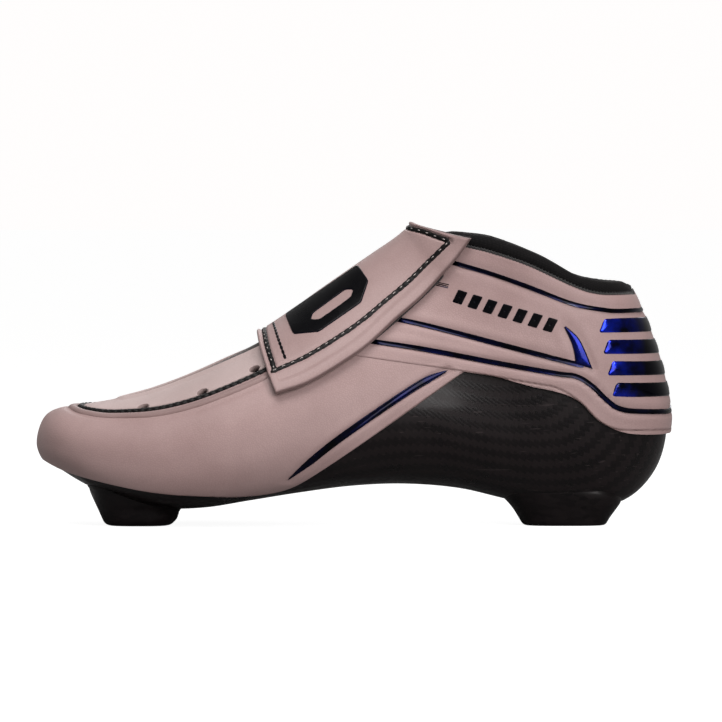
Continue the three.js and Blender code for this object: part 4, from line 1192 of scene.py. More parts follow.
# %% Inserts
def insert(name, node, x):
    """Out along the barrel, round the flange, and back down the bore as a row of small teeth."""
    low, high = [corner / MM for corner in map(np.array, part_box(node))]
    bottom, top = low[2], high[2]
    teeth = [(3.0 + (0.32 if k % 2 else 0.0), z) for k, z in enumerate(np.arange(top - 0.8, bottom + 0.6, -0.5))]
    profile = [(3.5, bottom), (4.6, bottom), (5.0, bottom + 0.4), (5.0, top - 1.5), (7.7, top - 1.5),
               (8.0, top - 1.2),
               (8.0, top - 0.3), (7.7, top), (3.6, top)] + teeth
    return settle(lathe(name, profile, (x, 0, 0)), "boot", [node], turned_steel)


insert("front_insert_turned", "front_insert", BOLTS[0])
insert("heel_insert_turned", "heel_insert", BOLTS[1])

# %% [markdown]
# ## Footbed and lining
# Inside the shell lies a thin cloth-covered insole. The lining is a padded bag: it covers the whole inside and is
# open along the throat. Both are bowls on the same last, a few millimetres further in.

# %% Footbed and lining
FOOTBED_EDGE = [[-141, 36.2], [-138, 35.4], [-120, 30], [-88, 24], [-48, 27], [0, 33], [30, 35], [73, 29], [100, 26],
                [125, 34], [145, 47]]
footbed_rim = drawn(FOOTBED_EDGE)
footbed_rim[[0, -1], 1] = np.pi
footbed = bowl("footbed_cloth", footbed_rim, -8.8, -5.3, rows=90, columns=70, edge=1.2)
cut_with(footbed, [plug(FLANGE_RADIUS, 0, 18, (x, 0, 0)) for x in BOLTS])
settle(footbed, "boot", ["footbed"], insole_cloth)

throat_line = above_line(THROAT_HALF)
throat_outer = throat_line[throat_line[:, 1] > 0]
throat_outer = throat_outer[np.argsort(throat_outer[:, 0])]
top_from = np.searchsorted(leather_top[:, 1], 0.45)  # where the lining's rim leaves the throat for the top edge
lining_rim = np.vstack([[[throat_outer[0, 0] - 0.02, 0.0]], throat_outer])
lining_rim = lining_rim[lining_rim[:, 0] < leather_top[top_from, 0]]
lining_rim = rising(np.vstack([lining_rim, leather_top[top_from:]]))
liner = bowl("padded_liner", lining_rim, -5.0, -1.9, rows=130, columns=90, edge=1.2)
cut_with(liner, [plug(FLANGE_RADIUS, 0, 18, (x, 0, 0)) for x in BOLTS])
settle(liner, "boot", ["liner"], lining_mesh)

# %% [markdown]
# ## The upper
# The vamp is one piece of leather round the toe, running back to a point on each side. Its lower edge is bonded to
# the shell and its upper edge ends at the apron's seam. The ankle wrap laps over its rear edge. Both are patches
# between their drawn edges. Where the foil stripes lie, the leather is pressed down a little, with a soft shoulder
# on either side of each stripe.

# %% Stripe lines
COLLAR_STRIPE = [[36, 121.4], [46, 118.9], [62.3, 114.4], [78.6, 108.7], [94.9, 102.2], [103, 99.7], [111, 98.2],
                 [119.2, 97.3], [145, 97.3]]
LOWER_STRIPE = [[2, 84], [29.8, 80.3], [62.3, 74.6], [90.8, 69.7], [100, 68.3], [107, 64], [113.1, 58],
                [119.2, 53.8], [130, 52.3], [160, 51.4]]
MID_STRIPE = [[10, 94.5], [29.8, 91.2], [62.3, 83.5], [103.5, 73.0]]
WEDGE_FRONT = [[94.4, 90.4], [96.4, 86.4], [98.4, 81.2], [99.6, 74.2]]
WEDGE_REAR = [[95.2, 91.0], [100.6, 86], [104, 79.6], [107.2, 71.6]]
VAMP_STRIPE = [[-30.5, 22.9], [-21, 30.3], [-5.2, 42.1], [27.2, 63.5], [42, 70.9]]
collar_stripe, lower_stripe, mid_stripe = drawn(COLLAR_STRIPE), drawn(LOWER_STRIPE), drawn(MID_STRIPE)
wedge_front, wedge_rear, vamp_stripe = drawn(WEDGE_FRONT), drawn(WEDGE_REAR), drawn(VAMP_STRIPE)
collar_stripe[-1, 1] = lower_stripe[-1, 1] = np.pi
STRIPES = [whole(collar_stripe), whole(lower_stripe)]
for line in (mid_stripe, wedge_front, wedge_rear, vamp_stripe):
    STRIPES += [line, other_side(line)]
STRIPE_POINTS = np.vstack([on_last(*resample(line, np.linspace(0, 1, 220)).T) for line in STRIPES])


def above_top(line):
    """Which points of a line lie above the leather's top edge in the side view."""
    at, edge = on_last(*line.T), on_last(*leather_top.T)
    return (at[:, 2] > np.interp(at[:, 0], edge[:, 0], edge[:, 2])) & (at[:, 0] > 15)


def below_top(line):
    """A line round the apron with both its ends cut at the leather's top edge."""
    keep = np.flatnonzero(~above_top(line))
    return line[keep[0]:keep[-1] + 1]


def pressed(points, half=1.9, depth=0.55, shoulder=0.2):
    """Depth times a bell in the distance to the nearest stripe, with a smaller raised bell beside it."""
    d = distance_to(points, STRIPE_POINTS)
    return -depth * np.exp(-(d / half) ** 4) + shoulder * np.exp(-((d - 2 * half) / half) ** 2)


# %% Vamp and ankle wrap
apron_edge = above_line(APRON_HALF)
seam_edge = above_line(APRON_HALF, SEAM_WIDTH)
half_way = len(seam_edge) // 2


def seam_side(line, inner):
    """The outer or the inner half of a line round the apron, from front to rear, with angles from 0 to 2 pi."""
    side = line[half_way:] if inner else line[:half_way + 1][::-1]
    return np.stack([side[:, 0], np.where(side[:, 1] < 0, side[:, 1] + 2 * np.pi, side[:, 1])], 1)


def crossing(seam, top):
    """The first point of a seam that is above the line top in the side view, and the nearest point of top."""
    at, edge = on_last(*seam.T), on_last(*top.T)
    order = np.argsort(edge[:, 0])
    above = at[:, 2] > np.interp(at[:, 0], edge[order, 0], edge[order, 2])
    i = np.flatnonzero(above & (at[:, 0] > 15))[0]
    return i - 4, nearest(seam[i:i + 1], top)[1]


def cut_seam(inner):
    """Where the apron's seam meets the wrap's lower corner and the leather's top edge."""
    seam = seam_side(seam_edge, inner)
    low, top = (other_side(wrap_lower), other_side(leather_top)) if inner else (wrap_lower, leather_top)
    return seam, nearest(seam[4:], low), crossing(seam, top), low, top


outer_seam, a, b, low, top = cut_seam(False)
inner_seam, c, d, low_in, top_in = cut_seam(True)
wrap_low = np.vstack([low[a[1]:], low_in[c[1]:][::-1][1:]])
wrap_top = np.vstack([top[b[1]:], top_in[d[1]:][::-1][1:]])
wrap_patch = patch(wrap_low, wrap_top, outer_seam[4 + a[0]:4 + b[0] + 1], inner_seam[4 + c[0]:4 + d[0] + 1],
                   columns=330, rows=64, tight=(0.003, 0.012))
print("the wrap starts at", np.round(on_last(*outer_seam[4 + a[0]][:, None])[0], 1))
wrap = panel("ankle_wrap_leather", wrap_patch, 0.3, 2.15, edge=1.0, relief=pressed(lift(wrap_patch, 0.0)))
settle(wrap, "boot", ["ankle_wrap"], upper_leather)

LAP = 2.2  # the vamp runs this far under the wrap
under_wrap = drawn(shifted(spline(WRAP_LOWER[:3], 12), LAP), smooth=False)
under_wrap = np.vstack([under_wrap, vamp_lower[-1:]])
vamp_low = np.vstack([vamp_lower[::-1], other_side(vamp_lower)[1:]])
outer_stop, inner_stop = nearest(outer_seam[4:], under_wrap), nearest(inner_seam[4:], other_side(under_wrap))
outer_high = np.vstack([under_wrap[outer_stop[1] + 1:][::-1], outer_seam[:4 + outer_stop[0]][::-1]])
inner_high = np.vstack([inner_seam[:4 + inner_stop[0]], other_side(under_wrap)[inner_stop[1] + 1:]])
vamp_high = np.vstack([outer_high, inner_high[1:]])
vamp_patch = toe_patch(vamp_low, vamp_high, shares(330, 0.003), shares(60, 0.012))
vamp_at = lift(vamp_patch, 0.0)
BEAD_FOOT = SEAM_WIDTH + 5.2  # a crease runs along the bead's outer foot
foot_line = below_top(above_line(APRON_HALF, BEAD_FOOT))
foot_at = on_last(*resample(foot_line, np.linspace(0, 1, 500)).T)
foot_groove = -0.45 * np.exp(-(distance_to(vamp_at, foot_at) / 0.9) ** 2)
vamp = panel("vamp_leather", vamp_patch, 0.3, 1.8, edge=1.0, relief=pressed(vamp_at) + foot_groove)
settle(vamp, "boot", ["vamp"], upper_leather)

# %% [markdown]
# ### Apron, seam and bead
# The apron is the thick panel over the instep. It is a horseshoe round the throat, punched for laces that this boot
# is worn without. Round it runs a sunk black seam, whose edge is scalloped by the pull of its stitches, and outside
# that the vamp is rolled over a cord, which makes a raised bead. The bead's leather colour is a darker copy of the
# vamp's: painted shade.

# %% Apron
throat_cut, apron_cut = below_top(throat_line), below_top(apron_edge)
apron_patch = toe_patch(throat_cut, apron_cut, shares(300, 0.003), shares(34, 0.02))


def near_throat(points):
    """A low roll along the throat: a bell in the distance to the throat's edge, 3 millimetres in from it."""
    d = distance_to(points, points[0])
    return 0.7 * np.exp(-((d - 2.4) / 1.7) ** 2) - 0.3 * np.exp(-((d - 6.2) / 0.8) ** 2)


APRON_FACE = 1.9  # the apron's outside, above the last
apron = panel("apron_leather_panel", apron_patch, -1.4, APRON_FACE, edge=1.3,
              relief=near_throat(lift(apron_patch, 0.0)))

LACE_HOLES = [[-95, 52.8], [-68, 59.8], [-44.5, 70.2]]
EYELETS = [[-28, 87], [-13, 98], [2, 108.5], [17, 119]]


def facing(polar):
    """Place and turn of the last's normal at one point: columns are two tangents and the normal."""
    u, angle = np.atleast_1d(polar[0]), np.atleast_1d(polar[1])
    at = on_last(u, angle)[0]
    normal = on_last(u, angle, 1.0)[0] - at
    side = np.cross(normal, [0.0, 0.3, 1.0])
    side /= np.linalg.norm(side)
    return at, np.stack([side, np.cross(normal, side), normal], 1)


def hole_places(points):
    """Holes drawn on the outer side, and their mirror images."""
    outer = from_side(points)
    return [*outer, *(outer * [1, -1])]


LACE_RADIUS, EYELET_RADIUS = 2.5, 1.8
punches = [(polar, LACE_RADIUS) for polar in hole_places(LACE_HOLES)]
punches += [(polar, EYELET_RADIUS) for polar in hole_places(EYELETS)]
cut_with(apron, [plug(radius, -4, 5, *facing(polar)) for polar, radius in punches])
# the apron's paler leather colour is painted light
settle(apron, "boot", ["apron"], apron_leather_painted_lighter)

# %% Rings in the punched holes
def ring(name, polar, hole, height):
    """A pressed ring: a rounded collar over the leather's face and a short tube down the hole."""
    at, turn = facing(polar)
    profile = np.array([(-0.75, -2.4), (-0.05, -2.4), (-0.05, -0.1), (0.85, -0.1), (0.95, 0.15), (0.6, 0.45),
                        (0, 0.55),
                        (-0.5, 0.35), (-0.75, -0.1)]) + [hole, height]
    return settle(lathe(name, profile, at, turn, 32), "boot", (), seam_rubber)


for index, polar in enumerate(hole_places(EYELETS)):
    ring(f"eyelet_{index + 1}", polar, EYELET_RADIUS, APRON_FACE)

# %% Sunk seam and bead
SCALLOP = 3.4  # millimetres from stitch to stitch
seam_line = below_top(above_line(APRON_HALF, SEAM_WIDTH / 2))
seam_line = even(seam_line, 900)
scallop = 1.0 - 0.16 * np.abs(np.cos(np.pi * run_of(on_last(*seam_line.T)) / SCALLOP)) ** 3
sunk_seam = sweep("scalloped_seam", seam_line, 0.6, half_round(4.0, 1.8, 13), scallop)
settle(sunk_seam, "boot", ["apron_seam"], seam_rubber)
stitch_line = resample(seam_line, np.linspace(0.002, 0.998, 700))
settle(stitches("seam_stitches", stitch_line, 2.33, SCALLOP, 2.4, 0.6), "boot", (), black_thread)

bead_line = below_top(above_line(APRON_HALF, SEAM_WIDTH + 2.5))
bead_at = on_last(*bead_line.T)
bead_line = bead_line[(bead_at[:, 0] < np.where(bead_line[:, 1] > 0, -36.5, 20))]
bead_line = even(bead_line, 700)
bead = sweep("rolled_bead", bead_line, 1.2, half_round(4.2, 1.45, 17), taper=14)
# the bead's darker leather colour is painted shade
settle(bead, "boot", ["apron_bead"], bead_leather_painted_shade)

# %% [markdown]
# ## Collar
# The rim of the opening is foam in a black knit, sewn to the leather's top edge with overlock stitches. Its section
# is a closed loop: up the outside from under the leather, over the rolled top, and down the inside. The loop is
# drawn by how far it is up from the leather's edge to the collar's edge, and by its height off the last. Cloth with
# air pressure inside then puffs it, held where it is sewn to the leather; the overlock stitches come after.

# %% Collar
# (share of the way up, height off the last) round the section
COLLAR_SECTION = [[-0.45, -0.9], [-0.1, 0.2], [0.2, 1.2], [0.5, 1.75], [0.78, 1.5], [0.95, 0.5], [1.0, -1.2],
                  [0.97, -3.2], [0.82, -4.9], [0.4, -5.6], [0.0, -5.5], [-0.6, -5.2], [-1.1, -4.3], [-1.2, -3.2],
                  [-0.9, -2.2]]


def closed_spline(points, per_span=4):
    """Catmull-Rom through the points and back to the first."""
    p = np.asarray(points, float)
    return spline(np.vstack([p[-1:], p, p[:2]]), per_span)[per_span:-1 - per_span]


def collar_shape(columns=260):
    """The section carried from the throat's outer edge round the heel to its inner edge, rounded off at both ends."""
    start = np.searchsorted(leather_top[:, 1], 0.47)
    upper_start = nearest(leather_top[start:start + 1], collar_top)[1]
    s = np.linspace(0, 1, columns)
    low = spaced(whole(leather_top[start:]), s)
    high = spaced(whole(collar_top[upper_start:]), s)
    loop = closed_spline(COLLAR_SECTION)
    size = rounded(np.minimum(s, 1 - s) * columns / 9, 0.002)[:, None]
    middle = np.array([0.1, -2.2])
    v = middle[0] + (loop[None, :, 0] - middle[0]) * size
    h = middle[1] + (loop[None, :, 1] - middle[1]) * size
    polar = low[:, None] + v[..., None] * (high - low)[:, None]
    return on_last(polar[..., 0], polar[..., 1], h)


def tube(name, points):
    """A padded section carried along: its map just counts the rings and the points of each."""
    return capped(name, points, np.stack(np.meshgrid(*map(np.arange, points.shape[1::-1])), -1))


PUFF_FRAMES = 20


def puff(piece, voxel, pressure, most, seam, reach):
    """Cloth with air inside: remesh at voxel metres, some frames of pressure without gravity, then no point may have
    moved further than most metres. The points within reach millimetres of the line seam are sewn down."""
    remesh = piece.modifiers.new("remesh", "REMESH")
    remesh.mode, remesh.voxel_size, remesh.use_smooth_shade = "VOXEL", voxel, True
    apply_modifiers(piece)
    before = positions(piece)
    sewn = piece.vertex_groups.new(name="sewn")
    sewn.add(np.flatnonzero(distance_to(before / MM, seam) < reach).tolist(), 1.0, "REPLACE")
    cloth_mod = piece.modifiers.new("cloth", "CLOTH")
    setting = cloth_mod.settings
    setting.quality, setting.mass, setting.air_damping = 6, 0.3, 2.0
    setting.tension_stiffness = setting.compression_stiffness = 40.0
    setting.shear_stiffness, setting.bending_stiffness = 20.0, 1.5
    setting.use_pressure, setting.uniform_pressure_force = True, pressure
    setting.effector_weights.gravity = 0.0
    setting.vertex_group_mass = "sewn"
    cloth_mod.collision_settings.use_collision = False
    scene = bpy.context.scene
    for number in range(1, PUFF_FRAMES + 1):
        scene.frame_set(number)
    apply_modifiers(piece)
    piece.data.polygons.foreach_set("use_smooth", [True] * len(piece.data.polygons))
    scene.frame_set(1)
    after = positions(piece)
    move = after - before
    far = np.linalg.norm(move, axis=1, keepdims=True)
    move *= np.minimum(1, most / np.maximum(far, 1e-9))
    piece.data.vertices.foreach_set("co", (before + move).ravel())
    print(piece.name, "puffed by", round(float(np.linalg.norm(move, axis=1).mean() / MM), 2), "mm on", len(before),
          "points")


def positions(piece):
    flat = np.empty(len(piece.data.vertices) * 3)
    piece.data.vertices.foreach_get("co", flat)
    return flat.reshape(-1, 3)


collar = tube("padded_collar", collar_shape())
edge_line = whole(leather_top[np.searchsorted(leather_top[:, 1], 0.3):])
puff(collar, 0.0019, 3.0, 0.0007, on_last(*resample(edge_line, np.linspace(0, 1, 300)).T), 2.2)
settle(collar, "boot", ["collar_padding"], collar_knit)

# %% Overlock stitches
collar_seam = whole(leather_top[np.searchsorted(leather_top[:, 1], 0.62):])
collar_seam = even(collar_seam, 800)
overlock = stitches("overlock_stitches", collar_seam, 1.75, 1.6, 2.7, 0.62, lean=1.15)
settle(overlock, "boot", (), black_thread)
settle(sweep("collar_cord", collar_seam, 1.1, half_round(1.5, 0.75)), "boot", (), black_thread)

# %% [markdown]
# ## Tongue
# The tongue is a long pad in the throat. Its front end is sewn in and stays with the boot, and the rest lifts
# forward when the flap opens, so one piece bends from the boot to the tongue. It is a closed section carried up the
# throat: flat below, crowned above, thin at its edges, with two sewn channels and a bound top.

# %% Tongue
TONGUE_CLEARANCE = 0.8
TONGUE_TOP_Z = 133.2
TONGUE_HEIGHT = -2.4  # its sewn edge, below the last


def tongue_shape(rows=150, columns=49):
    """Across the throat by t from -1 to 1: height is a crown (1 - t^4)^(1/2) less two channels; below it is flat."""
    edge = above_line(THROAT_HALF, -TONGUE_CLEARANCE)
    at = on_last(*edge.T)
    outer, inner = edge[at[:, 1] < THROAT_MIDDLE][::-1], edge[at[:, 1] > THROAT_MIDDLE]
    ridge_u = np.linspace(0, U_END, 900)
    ridge = last_point(ridge_u, np.zeros(900))
    u_top = np.interp(TONGUE_TOP_Z, ridge[:, 2], ridge_u)
    u = np.linspace(outer[0, 0] + 0.06, u_top, rows)
    order, order_in = np.argsort(outer[:, 0]), np.argsort(inner[:, 0])
    left = np.interp(u, outer[order, 0], outer[order, 1])
    right = np.interp(u, inner[order_in, 0], inner[order_in, 1])
    t = np.sin(np.linspace(-1, 1, columns) * np.pi / 2)
    size = rounded(np.minimum(np.arange(rows), np.arange(rows)[::-1]) / 7, 0.01)[:, None]
    angle = (left[:, None] + right[:, None]) / 2 - (left - right)[:, None] / 2 * t * size ** 0.5
    thick = (1 - np.abs(t) ** 4) ** 0.5
    channels = 0.8 * np.exp(-((np.abs(t) - 0.62) / 0.07) ** 2)
    run = np.linspace(0, 1, rows)[:, None]
    cross = 0.5 * np.exp(-(((run * 9) % 1 - 0.5) / 0.08) ** 2) * (np.abs(t) < 0.6) * (run > 0.45)
    above = TONGUE_HEIGHT + (3.0 * thick + 0.35 * (1 - t**2) - channels - cross) * size
    below = TONGUE_HEIGHT - 2.5 * thick * size
    polar_u = np.broadcast_to(u[:, None], angle.shape)
    up, down = on_last(polar_u, angle, above), on_last(polar_u, angle, below)
    return np.concatenate([up, down[:, ::-1][:, 1:-1]], 1)


tongue = tube("padded_tongue", tongue_shape())
sewn_line = resample(above_line(THROAT_HALF, -TONGUE_CLEARANCE), np.linspace(0, 1, 400))
puff(tongue, 0.0019, 2.5, 0.0005, lift(sewn_line, TONGUE_HEIGHT), 2.0)
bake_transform(tongue)
settle(tongue, None, ["tongue_base", "tongue_pad"], tongue_knit)

# %% [markdown]
# ## Flap
# The flap is one sheet of leather over a thin lining. It is sewn to the inner side of the boot, and opens towards
# that side, so the sheet bends where the sewn strip ends. Its free edge is folded over a cord, which makes a raised
# rim. The sheet is a patch from the outer free edge, over the instep, to the lower edge of the sewn strip.

# %% The flap's patch
def flap_patch(free, front, rear, low, columns=230, rows=110):
    """From the free edge (outer side) over the instep to the low line (inner side, negative angles)."""
    s, t = shares(columns, 0.006), shares(rows, 0.008)
    negative = lambda line: line * [1, -1]
    front_line = np.vstack([front, negative(front[::-1])[1:]])
    start = nearest(front_line, low[:1])[0]
    front_line = np.vstack([front_line[:start + 1], low[:1]])
    rear_line = np.vstack([rear, negative(rear[::-1])[1:], low[-1:]])
    return coons(spaced(free, s), spaced(low, s), spaced(front_line, t), spaced(rear_line, t), s, t)


free_line = drawn(FLAP_FREE)
front_line = from_side(spline(FLAP_FRONT, 10))
front_line[-1, 1] = 0.0
rear_line = from_side(spline(FLAP_REAR, 10))
rear_line[-1, 1] = 0.0
STRIP = 10.0  # width of the sewn strip
strip_low = from_side(resample(shifted(np.array(HINGE, float), -STRIP), np.linspace(0, 1, 50))) * [1, -1]
hinge_line = from_side(resample(np.array(HINGE, float), np.linspace(0, 1, 50))) * [1, -1]
cover_patch = flap_patch(free_line, front_line, rear_line, strip_low)
free_at = on_last(*free_line.T, np.full(len(free_line), 5.6))
front_at = on_last(*front_line.T, np.full(len(front_line), 5.6))
rear_at = on_last(*rear_line.T, np.full(len(rear_line), 5.6))


cover_at = lift(cover_patch, 5.6)
to_free, to_front, to_rear = (distance_to(cover_at, line) for line in (free_at, front_at, rear_at))


SEAM_LOWER = [[-36.6, 66.9], [-21.6, 73.9], [-8.4, 81.9], [3, 89.7], [14.3, 99], [25.7, 108.6], [36.3, 119],
              [45.6, 128.4]]
SEAM_FRONT = [[-34.6, 67.4], [-37.4, 77.5], [-38.6, 84.7]]
SEAM_REAR = [[45.2, 128.6], [36.0, 130.9], [26.6, 132.6]]


def trim_line(points, over=False):
    """A drawn line at even steps. over: it ends at the instep's middle line, and goes on as its mirror image."""
    line = from_side(spline(points, 14))
    if over:
        line[-1, 1] = 0.0
        line = np.vstack([line, line[::-1][1:-13] * [1, -1]])
    return even(line, 420)


def raised(distance, width, tall):
    """A flat-topped rim of that width along a line."""
    return tall * np.exp(-((distance - width / 2) / (width * 0.5)) ** 8)


seam_lower, seam_front, seam_rear = trim_line(SEAM_LOWER), trim_line(SEAM_FRONT, True), trim_line(SEAM_REAR, True)
channel = np.maximum.reduce([np.exp(-(distance_to(cover_at, on_last(*line.T, np.full(len(line), 5.6))) / 1.6) ** 6)
                             for line in (seam_lower, seam_front, seam_rear)])
rim_rise = np.maximum.reduce([raised(to_free, 5.6, 1.1), raised(to_front, 3.6, 0.8), raised(to_rear, 3.2, 0.35)])
rim_rise = rim_rise * (1 - channel) - 0.65 * channel
to_hinge = distance_to(cover_at, on_last(*hinge_line.T, np.full(len(hinge_line), 5.0)))
on_strip = np.arange(cover_patch.shape[0])[:, None] > 0.5 * cover_patch.shape[0]
hinge_groove = -0.5 * np.exp(-(to_hinge / 1.6) ** 2) * on_strip
cover = panel("flap_cover_leather", cover_patch, 4.15, 5.5, edge=1.1, relief=rim_rise + hinge_groove)
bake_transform(cover)
settle(cover, None, ["flap_cover", "flap_anchor"], flap_leather)

# %% Lining, hooks and loops
lining_free = drawn(shifted(spline(FLAP_FREE), 1.2), smooth=False)
lining_front = from_side(np.array([[p[0] + 1.2, p[1]] for p in spline(FLAP_FRONT, 10)]))
lining_front[-1, 1] = 0.0
lining_rear = from_side(np.array([[p[0] - 1.2, p[1] - 0.6] for p in spline(FLAP_REAR, 10)]))
lining_rear[-1, 1] = 0.0
hinge_inside = from_side(resample(shifted(np.array(HINGE, float), 1.3), np.linspace(0, 1, 50))) * [1, -1]
lining_patch = flap_patch(lining_free, lining_front, lining_rear, hinge_inside, 150, 70)
HOOK_LINE = [[-20, 73], [2, 86], [24, 104.5], [38, 118]]
LOOP_LINE = [[-19, 76.5], [2, 89], [24, 107], [37, 119.5]]
lining = panel("flap_lining_cloth", lining_patch, 3.0, 4.1, edge=0.6)
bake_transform(lining)
settle(lining, None, ["flap_lining"], lining_mesh)


def strip_patch(middle, width, columns=120, rows=24):
    """A band with rounded ends: the half width shrinks to nothing as a circle does."""
    line = resample(spline(middle), np.linspace(0, 1, columns))
    length = np.linalg.norm(np.diff(line, axis=0), axis=1).sum()
    s = shares(columns, 0.006)
    line = resample(line, s)
    end = np.minimum(s, 1 - s) * length
    round_off = np.sqrt(np.clip(1 - (1 - np.clip(end / 3.0, 0, 1)) ** 2, 0.0004, 1))
    way = np.gradient(line, axis=0)
    way /= np.linalg.norm(way, axis=1, keepdims=True)
    flank = np.stack([-way[:, 1], way[:, 0]], 1)
    half = width / 2 - 3.0 + 3.0 * round_off
    t = shares(rows, 0.02) * 2 - 1
    points = line[None] + flank[None] * (half[None] * t[:, None])[..., None]
    return from_side(points.reshape(-1, 2)).reshape(rows, columns, 2)


def pile(points, pitch, depth):
    """Rows of small bumps: the product of two sines of the distance run along and across."""
    along = np.cumsum(np.pad(np.linalg.norm(np.diff(points, axis=1), axis=2), ((0, 0), (1, 0))), 1)
    across = np.cumsum(np.pad(np.linalg.norm(np.diff(points, axis=0), axis=2), ((1, 0), (0, 0))), 0)
    return depth * np.sin(np.pi * along / pitch) * np.sin(np.pi * across / pitch)


hook_patch = strip_patch(HOOK_LINE, 13, 150, 40)
hooks = panel("hook_field_patch", hook_patch, 2.85, 4.0, edge=0.4)
settle(hooks, "flap", ["hook_patch"], hook_field)
loop_patch = strip_patch(LOOP_LINE, 11, 150, 36)
loops = panel("loop_field_patch", loop_patch, 1.6, 2.65, edge=0.5, relief=pile(lift(loop_patch, 2), 1.7, 0.07))
settle(loops, "boot", ["loop_patch"], loop_field)
loop_rim = strip_patch(LOOP_LINE, 9, 150, 36)
loop_edge = np.vstack([loop_rim[0], loop_rim[:, -1], loop_rim[-1][::-1], loop_rim[::-1, 0]])
settle(stitches("loop_stitches", loop_edge, 2.65, 2.6, 1.9, 0.5), "boot", (), black_thread)

# %% [markdown]
# ### Lines and plate on the flap
# A black channel runs beside the raised rim, and its pale thread shows as short dashes. A thinner line follows it
# along the front. The mark is a plain angular plate with a slot, raised like a printed lacquer patch.

# %% Flap trim
ACCENT = [[-29.6, 72.4], [-31.9, 80], [-33.9, 87.4]]
TRIM_HEIGHT = 4.8  # just under the channel's floor


def trim(name, line, width, tall, nodes, paint, dashes=None):
    """A low half-round strip with a scalloped width, and dashes of thread along it."""
    run = np.concatenate([[0], np.cumsum(np.linalg.norm(np.diff(on_last(*line.T), axis=0), axis=1))])
    wave = 1.0 - 0.14 * np.abs(np.cos(np.pi * run / 3.2)) ** 4
    settle(sweep(name, line, TRIM_HEIGHT, half_round(width, tall, 9), wave, 5), "flap", nodes, paint)
    if dashes is not None:
        settle(stitches(name + "_thread", line, TRIM_HEIGHT + tall + 0.02, 4.4, 1.5, 0.42), "flap", (),
               dashes)


trim("flap_channel_lower", seam_lower, 2.8, 0.75, ["flap_seam"], seam_rubber, pale_thread)
trim("flap_channel_front", seam_front, 2.7, 0.75, (), seam_rubber, pale_thread)
trim("flap_channel_rear", seam_rear, 2.4, 0.75, (), seam_rubber, pale_thread)
trim("flap_accent", trim_line(ACCENT), 1.9, 1.0, ["flap_accent_line"], black_lacquer)

PLATE = [[-25.5, 83], [-14.5, 84.6], [4.5, 98], [8.4, 107.6], [4.6, 113.8], [-28.4, 91]]
SLOT = [[-17.5, 89.6], [-13.6, 89.9], [0.2, 100], [1.6, 103.4], [-1.8, 103.2], [-16.4, 92.4]]


def rounded_loop(corners, count, radius):
    """A closed polygon at even steps of its length, its corners rounded by a moving average of that radius."""
    p = np.asarray(corners, float)
    p = np.vstack([p, p[:1]])
    fine = resample(p, np.linspace(0, 1, count * 4 + 1))[:-1]
    length = np.linalg.norm(np.diff(p, axis=0), axis=1).sum()
    reach = max(1, int(radius / length * count * 4))
    kernel = np.ones(2 * reach + 1) / (2 * reach + 1)
    padded = np.vstack([fine[-reach:], fine, fine[:reach]])
    smooth = np.stack([np.convolve(padded[:, k], kernel, "valid") for k in (0, 1)], 1)
    return smooth[::4]


def plate_patch(outline, slot, count=200, rows=26):
    """Rings from the outline in to the slot; each slot point is the one in the same direction from its middle."""
    outer, inner = rounded_loop(outline, count, 1.2), rounded_loop(slot, count, 1.2)
    centre = inner.mean(0)
    bearing = np.unwrap(np.arctan2(*(inner - centre).T[::-1]))
    want = np.unwrap(np.arctan2(*(outer - centre).T[::-1]))
    turn = np.sign(bearing[-1] - bearing[0])
    order = np.argsort((bearing * turn) % (2 * np.pi))
    at = (bearing[order] * turn) % (2 * np.pi)
    spread = [np.interp((want * turn) % (2 * np.pi), np.r_[at - 2 * np.pi, at, at + 2 * np.pi],
                        np.tile(inner[order, k], 3)) for k in (0, 1)]
    inner = np.stack(spread, 1)
    t = shares(rows, 0.03)[:, None, None]
    grid = outer[None] + (inner - outer)[None] * t
    return from_side(grid.reshape(-1, 2)).reshape(rows, count, 2)


mark_patch = plate_patch(PLATE, SLOT)
settle(panel("flap_plate", mark_patch, 5.3, 6.05, edge=0.5, closed=True), "flap", ["flap_emblem"],
       black_lacquer)

# %% [markdown]
# ## Foil stripes, bars and ticks
# The stripes are thin foil strips with raised borders, pressed into the leather. The heel bars are broad foil
# cushions that wrap the heel. A row of slanted ticks stands on the side. Each follows its drawn line.

# %% Stripes
def stripe_profile(width, lip=0.28, bed=0.02):
    """A shallow trough with rounded lips."""
    half = width / 2
    return np.array([[half, -0.5], [half, lip * 0.4], [half * 0.9, lip], [half * 0.72, lip * 0.9],
                     [half * 0.45, bed + 0.06], [0, bed + 0.12],
                     [-half * 0.45, bed + 0.06], [-half * 0.72, lip * 0.9], [-half * 0.9, lip], [-half, lip * 0.4],
                     [-half, -0.5]])


def stripe(name, line, width, nodes, paint, scale=None, height=2.05, taper=10):
    line = even(line, 420)
    size = None if scale is None else scale(np.linspace(0, 1, 420))
    return settle(sweep(name, line, height, stripe_profile(width), size, taper), "boot", nodes, paint)


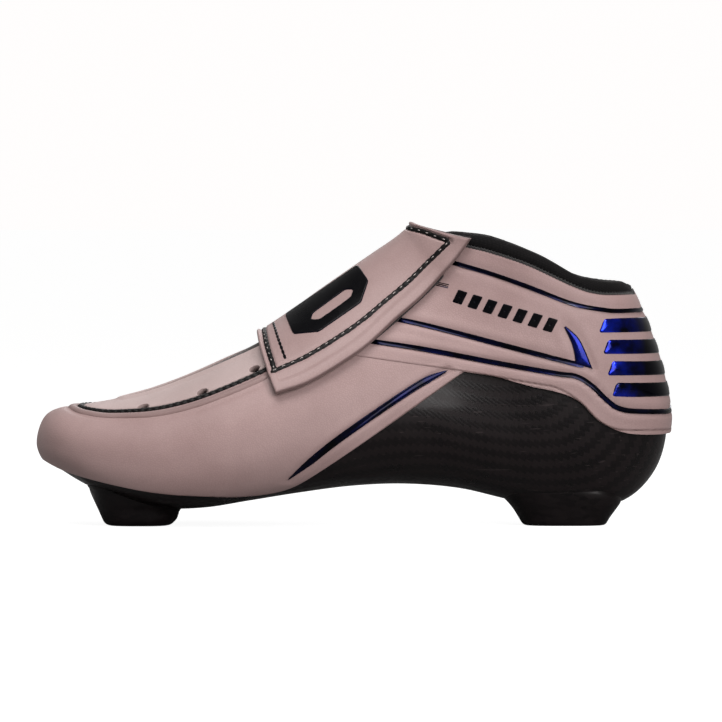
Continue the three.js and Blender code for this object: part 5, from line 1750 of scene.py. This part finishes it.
stripe("collar_stripe_foil", whole(collar_stripe), 2.0, ["collar_stripe"], stripe_foil)
stripe("lower_stripe_foil", whole(lower_stripe), 2.3, ["lower_stripe"], stripe_foil)
short_stripe = drawn([[28, 111.3], [35, 109.8], [43.2, 108.2]])
thinning = lambda t: np.clip(t / 0.16, 0.03, 1) ** 0.7 * np.clip((1 - t) / 0.12, 0.03, 1) ** 0.6
for side, turn in (("lateral", lambda line: line), ("medial", other_side)):
    stripe("mid_stripe_foil_" + side, turn(mid_stripe), 2.3, ["mid_stripe_" + side], stripe_foil)
    wedge = panel("wedge_foil_" + side,
                  patch(turn(wedge_front), turn(wedge_rear), columns=60, rows=26, tight=(0.02, 0.06)), 1.2, 2.4,
                  edge=0.8, crown=0.25)
    settle(wedge, "boot", (), wedge_foil)
    stripe("short_stripe_foil_" + side, turn(short_stripe), 2.0, (), stripe_foil)
    stripe("vamp_stripe_foil_" + side, turn(vamp_stripe), 3.3, ["vamp_stripe_" + side], stripe_foil, scale=thinning,
           height=1.75)

# %% Bars and ticks
BAR_HEIGHT, BAR_PITCH, BAR_FIRST_Z, BAR_FRONT_X, BAR_STEP, BAR_SLANT = 7.0, 9.6, 87.6, 109.0, 1.9, 0.36


def bar_patch(index, columns=150, rows=34):
    """Between two drawn lines round the heel, with both ends drawn in to a rounded corner."""
    z, x = BAR_FIRST_Z - index * BAR_PITCH, BAR_FRONT_X + index * BAR_STEP
    low = whole(drawn([[x, z], [130, z - 0.47], [170, z - 1.5]], smooth=False))
    high = whole(drawn([[x + BAR_SLANT * BAR_HEIGHT, z + BAR_HEIGHT], [130, z + BAR_HEIGHT - 0.47],
                        [170, z - 1.5 + BAR_HEIGHT]], smooth=False))
    s, t = shares(columns, 0.008), shares(rows, 0.035)
    low, high = spaced(low, s), spaced(high, s)
    length = np.linalg.norm(np.diff(on_last(*low.T), axis=0), axis=1).sum()
    corner = np.sqrt(np.clip(1 - (1 - np.clip(np.minimum(s, 1 - s) * length / 2.0, 0, 1)) ** 2, 0.0, 1))
    share = 0.5 + (t[:, None] - 0.5) * (1 - 2 * 2.0 / BAR_HEIGHT * (1 - corner[None]))
    return low[None] + (high - low)[None] * share[..., None]


for index in range(4):
    bar = panel(f"heel_bar_foil_{index + 1}", bar_patch(index), 1.3, 2.35, edge=1.1, crown=0.35)
    settle(bar, "boot", [f"heel_bar_{index + 1}"], blue_foil)

for index in range(7):
    x, z = 44.5 + index * 6.7, 101.2 - index * 2.0
    corners = np.array([[x, z], [x + 4.2, z - 1.2], [x + 7.2, z + 4.6], [x + 3, z + 5.8]])
    loop = rounded_loop(corners, 48, 0.5)
    rings = corners.mean(0) + (loop[None] - corners.mean(0)) * (1 - shares(16, 0.05) * 0.999)[:, None, None]
    tick = from_side(rings.reshape(-1, 2)).reshape(16, 48, 2)
    settle(panel(f"tick_{index + 1}", tick, 1.6, 2.45, edge=0.4, closed=True), "boot",
           [f"side_tick_{index + 1}"], black_lacquer)
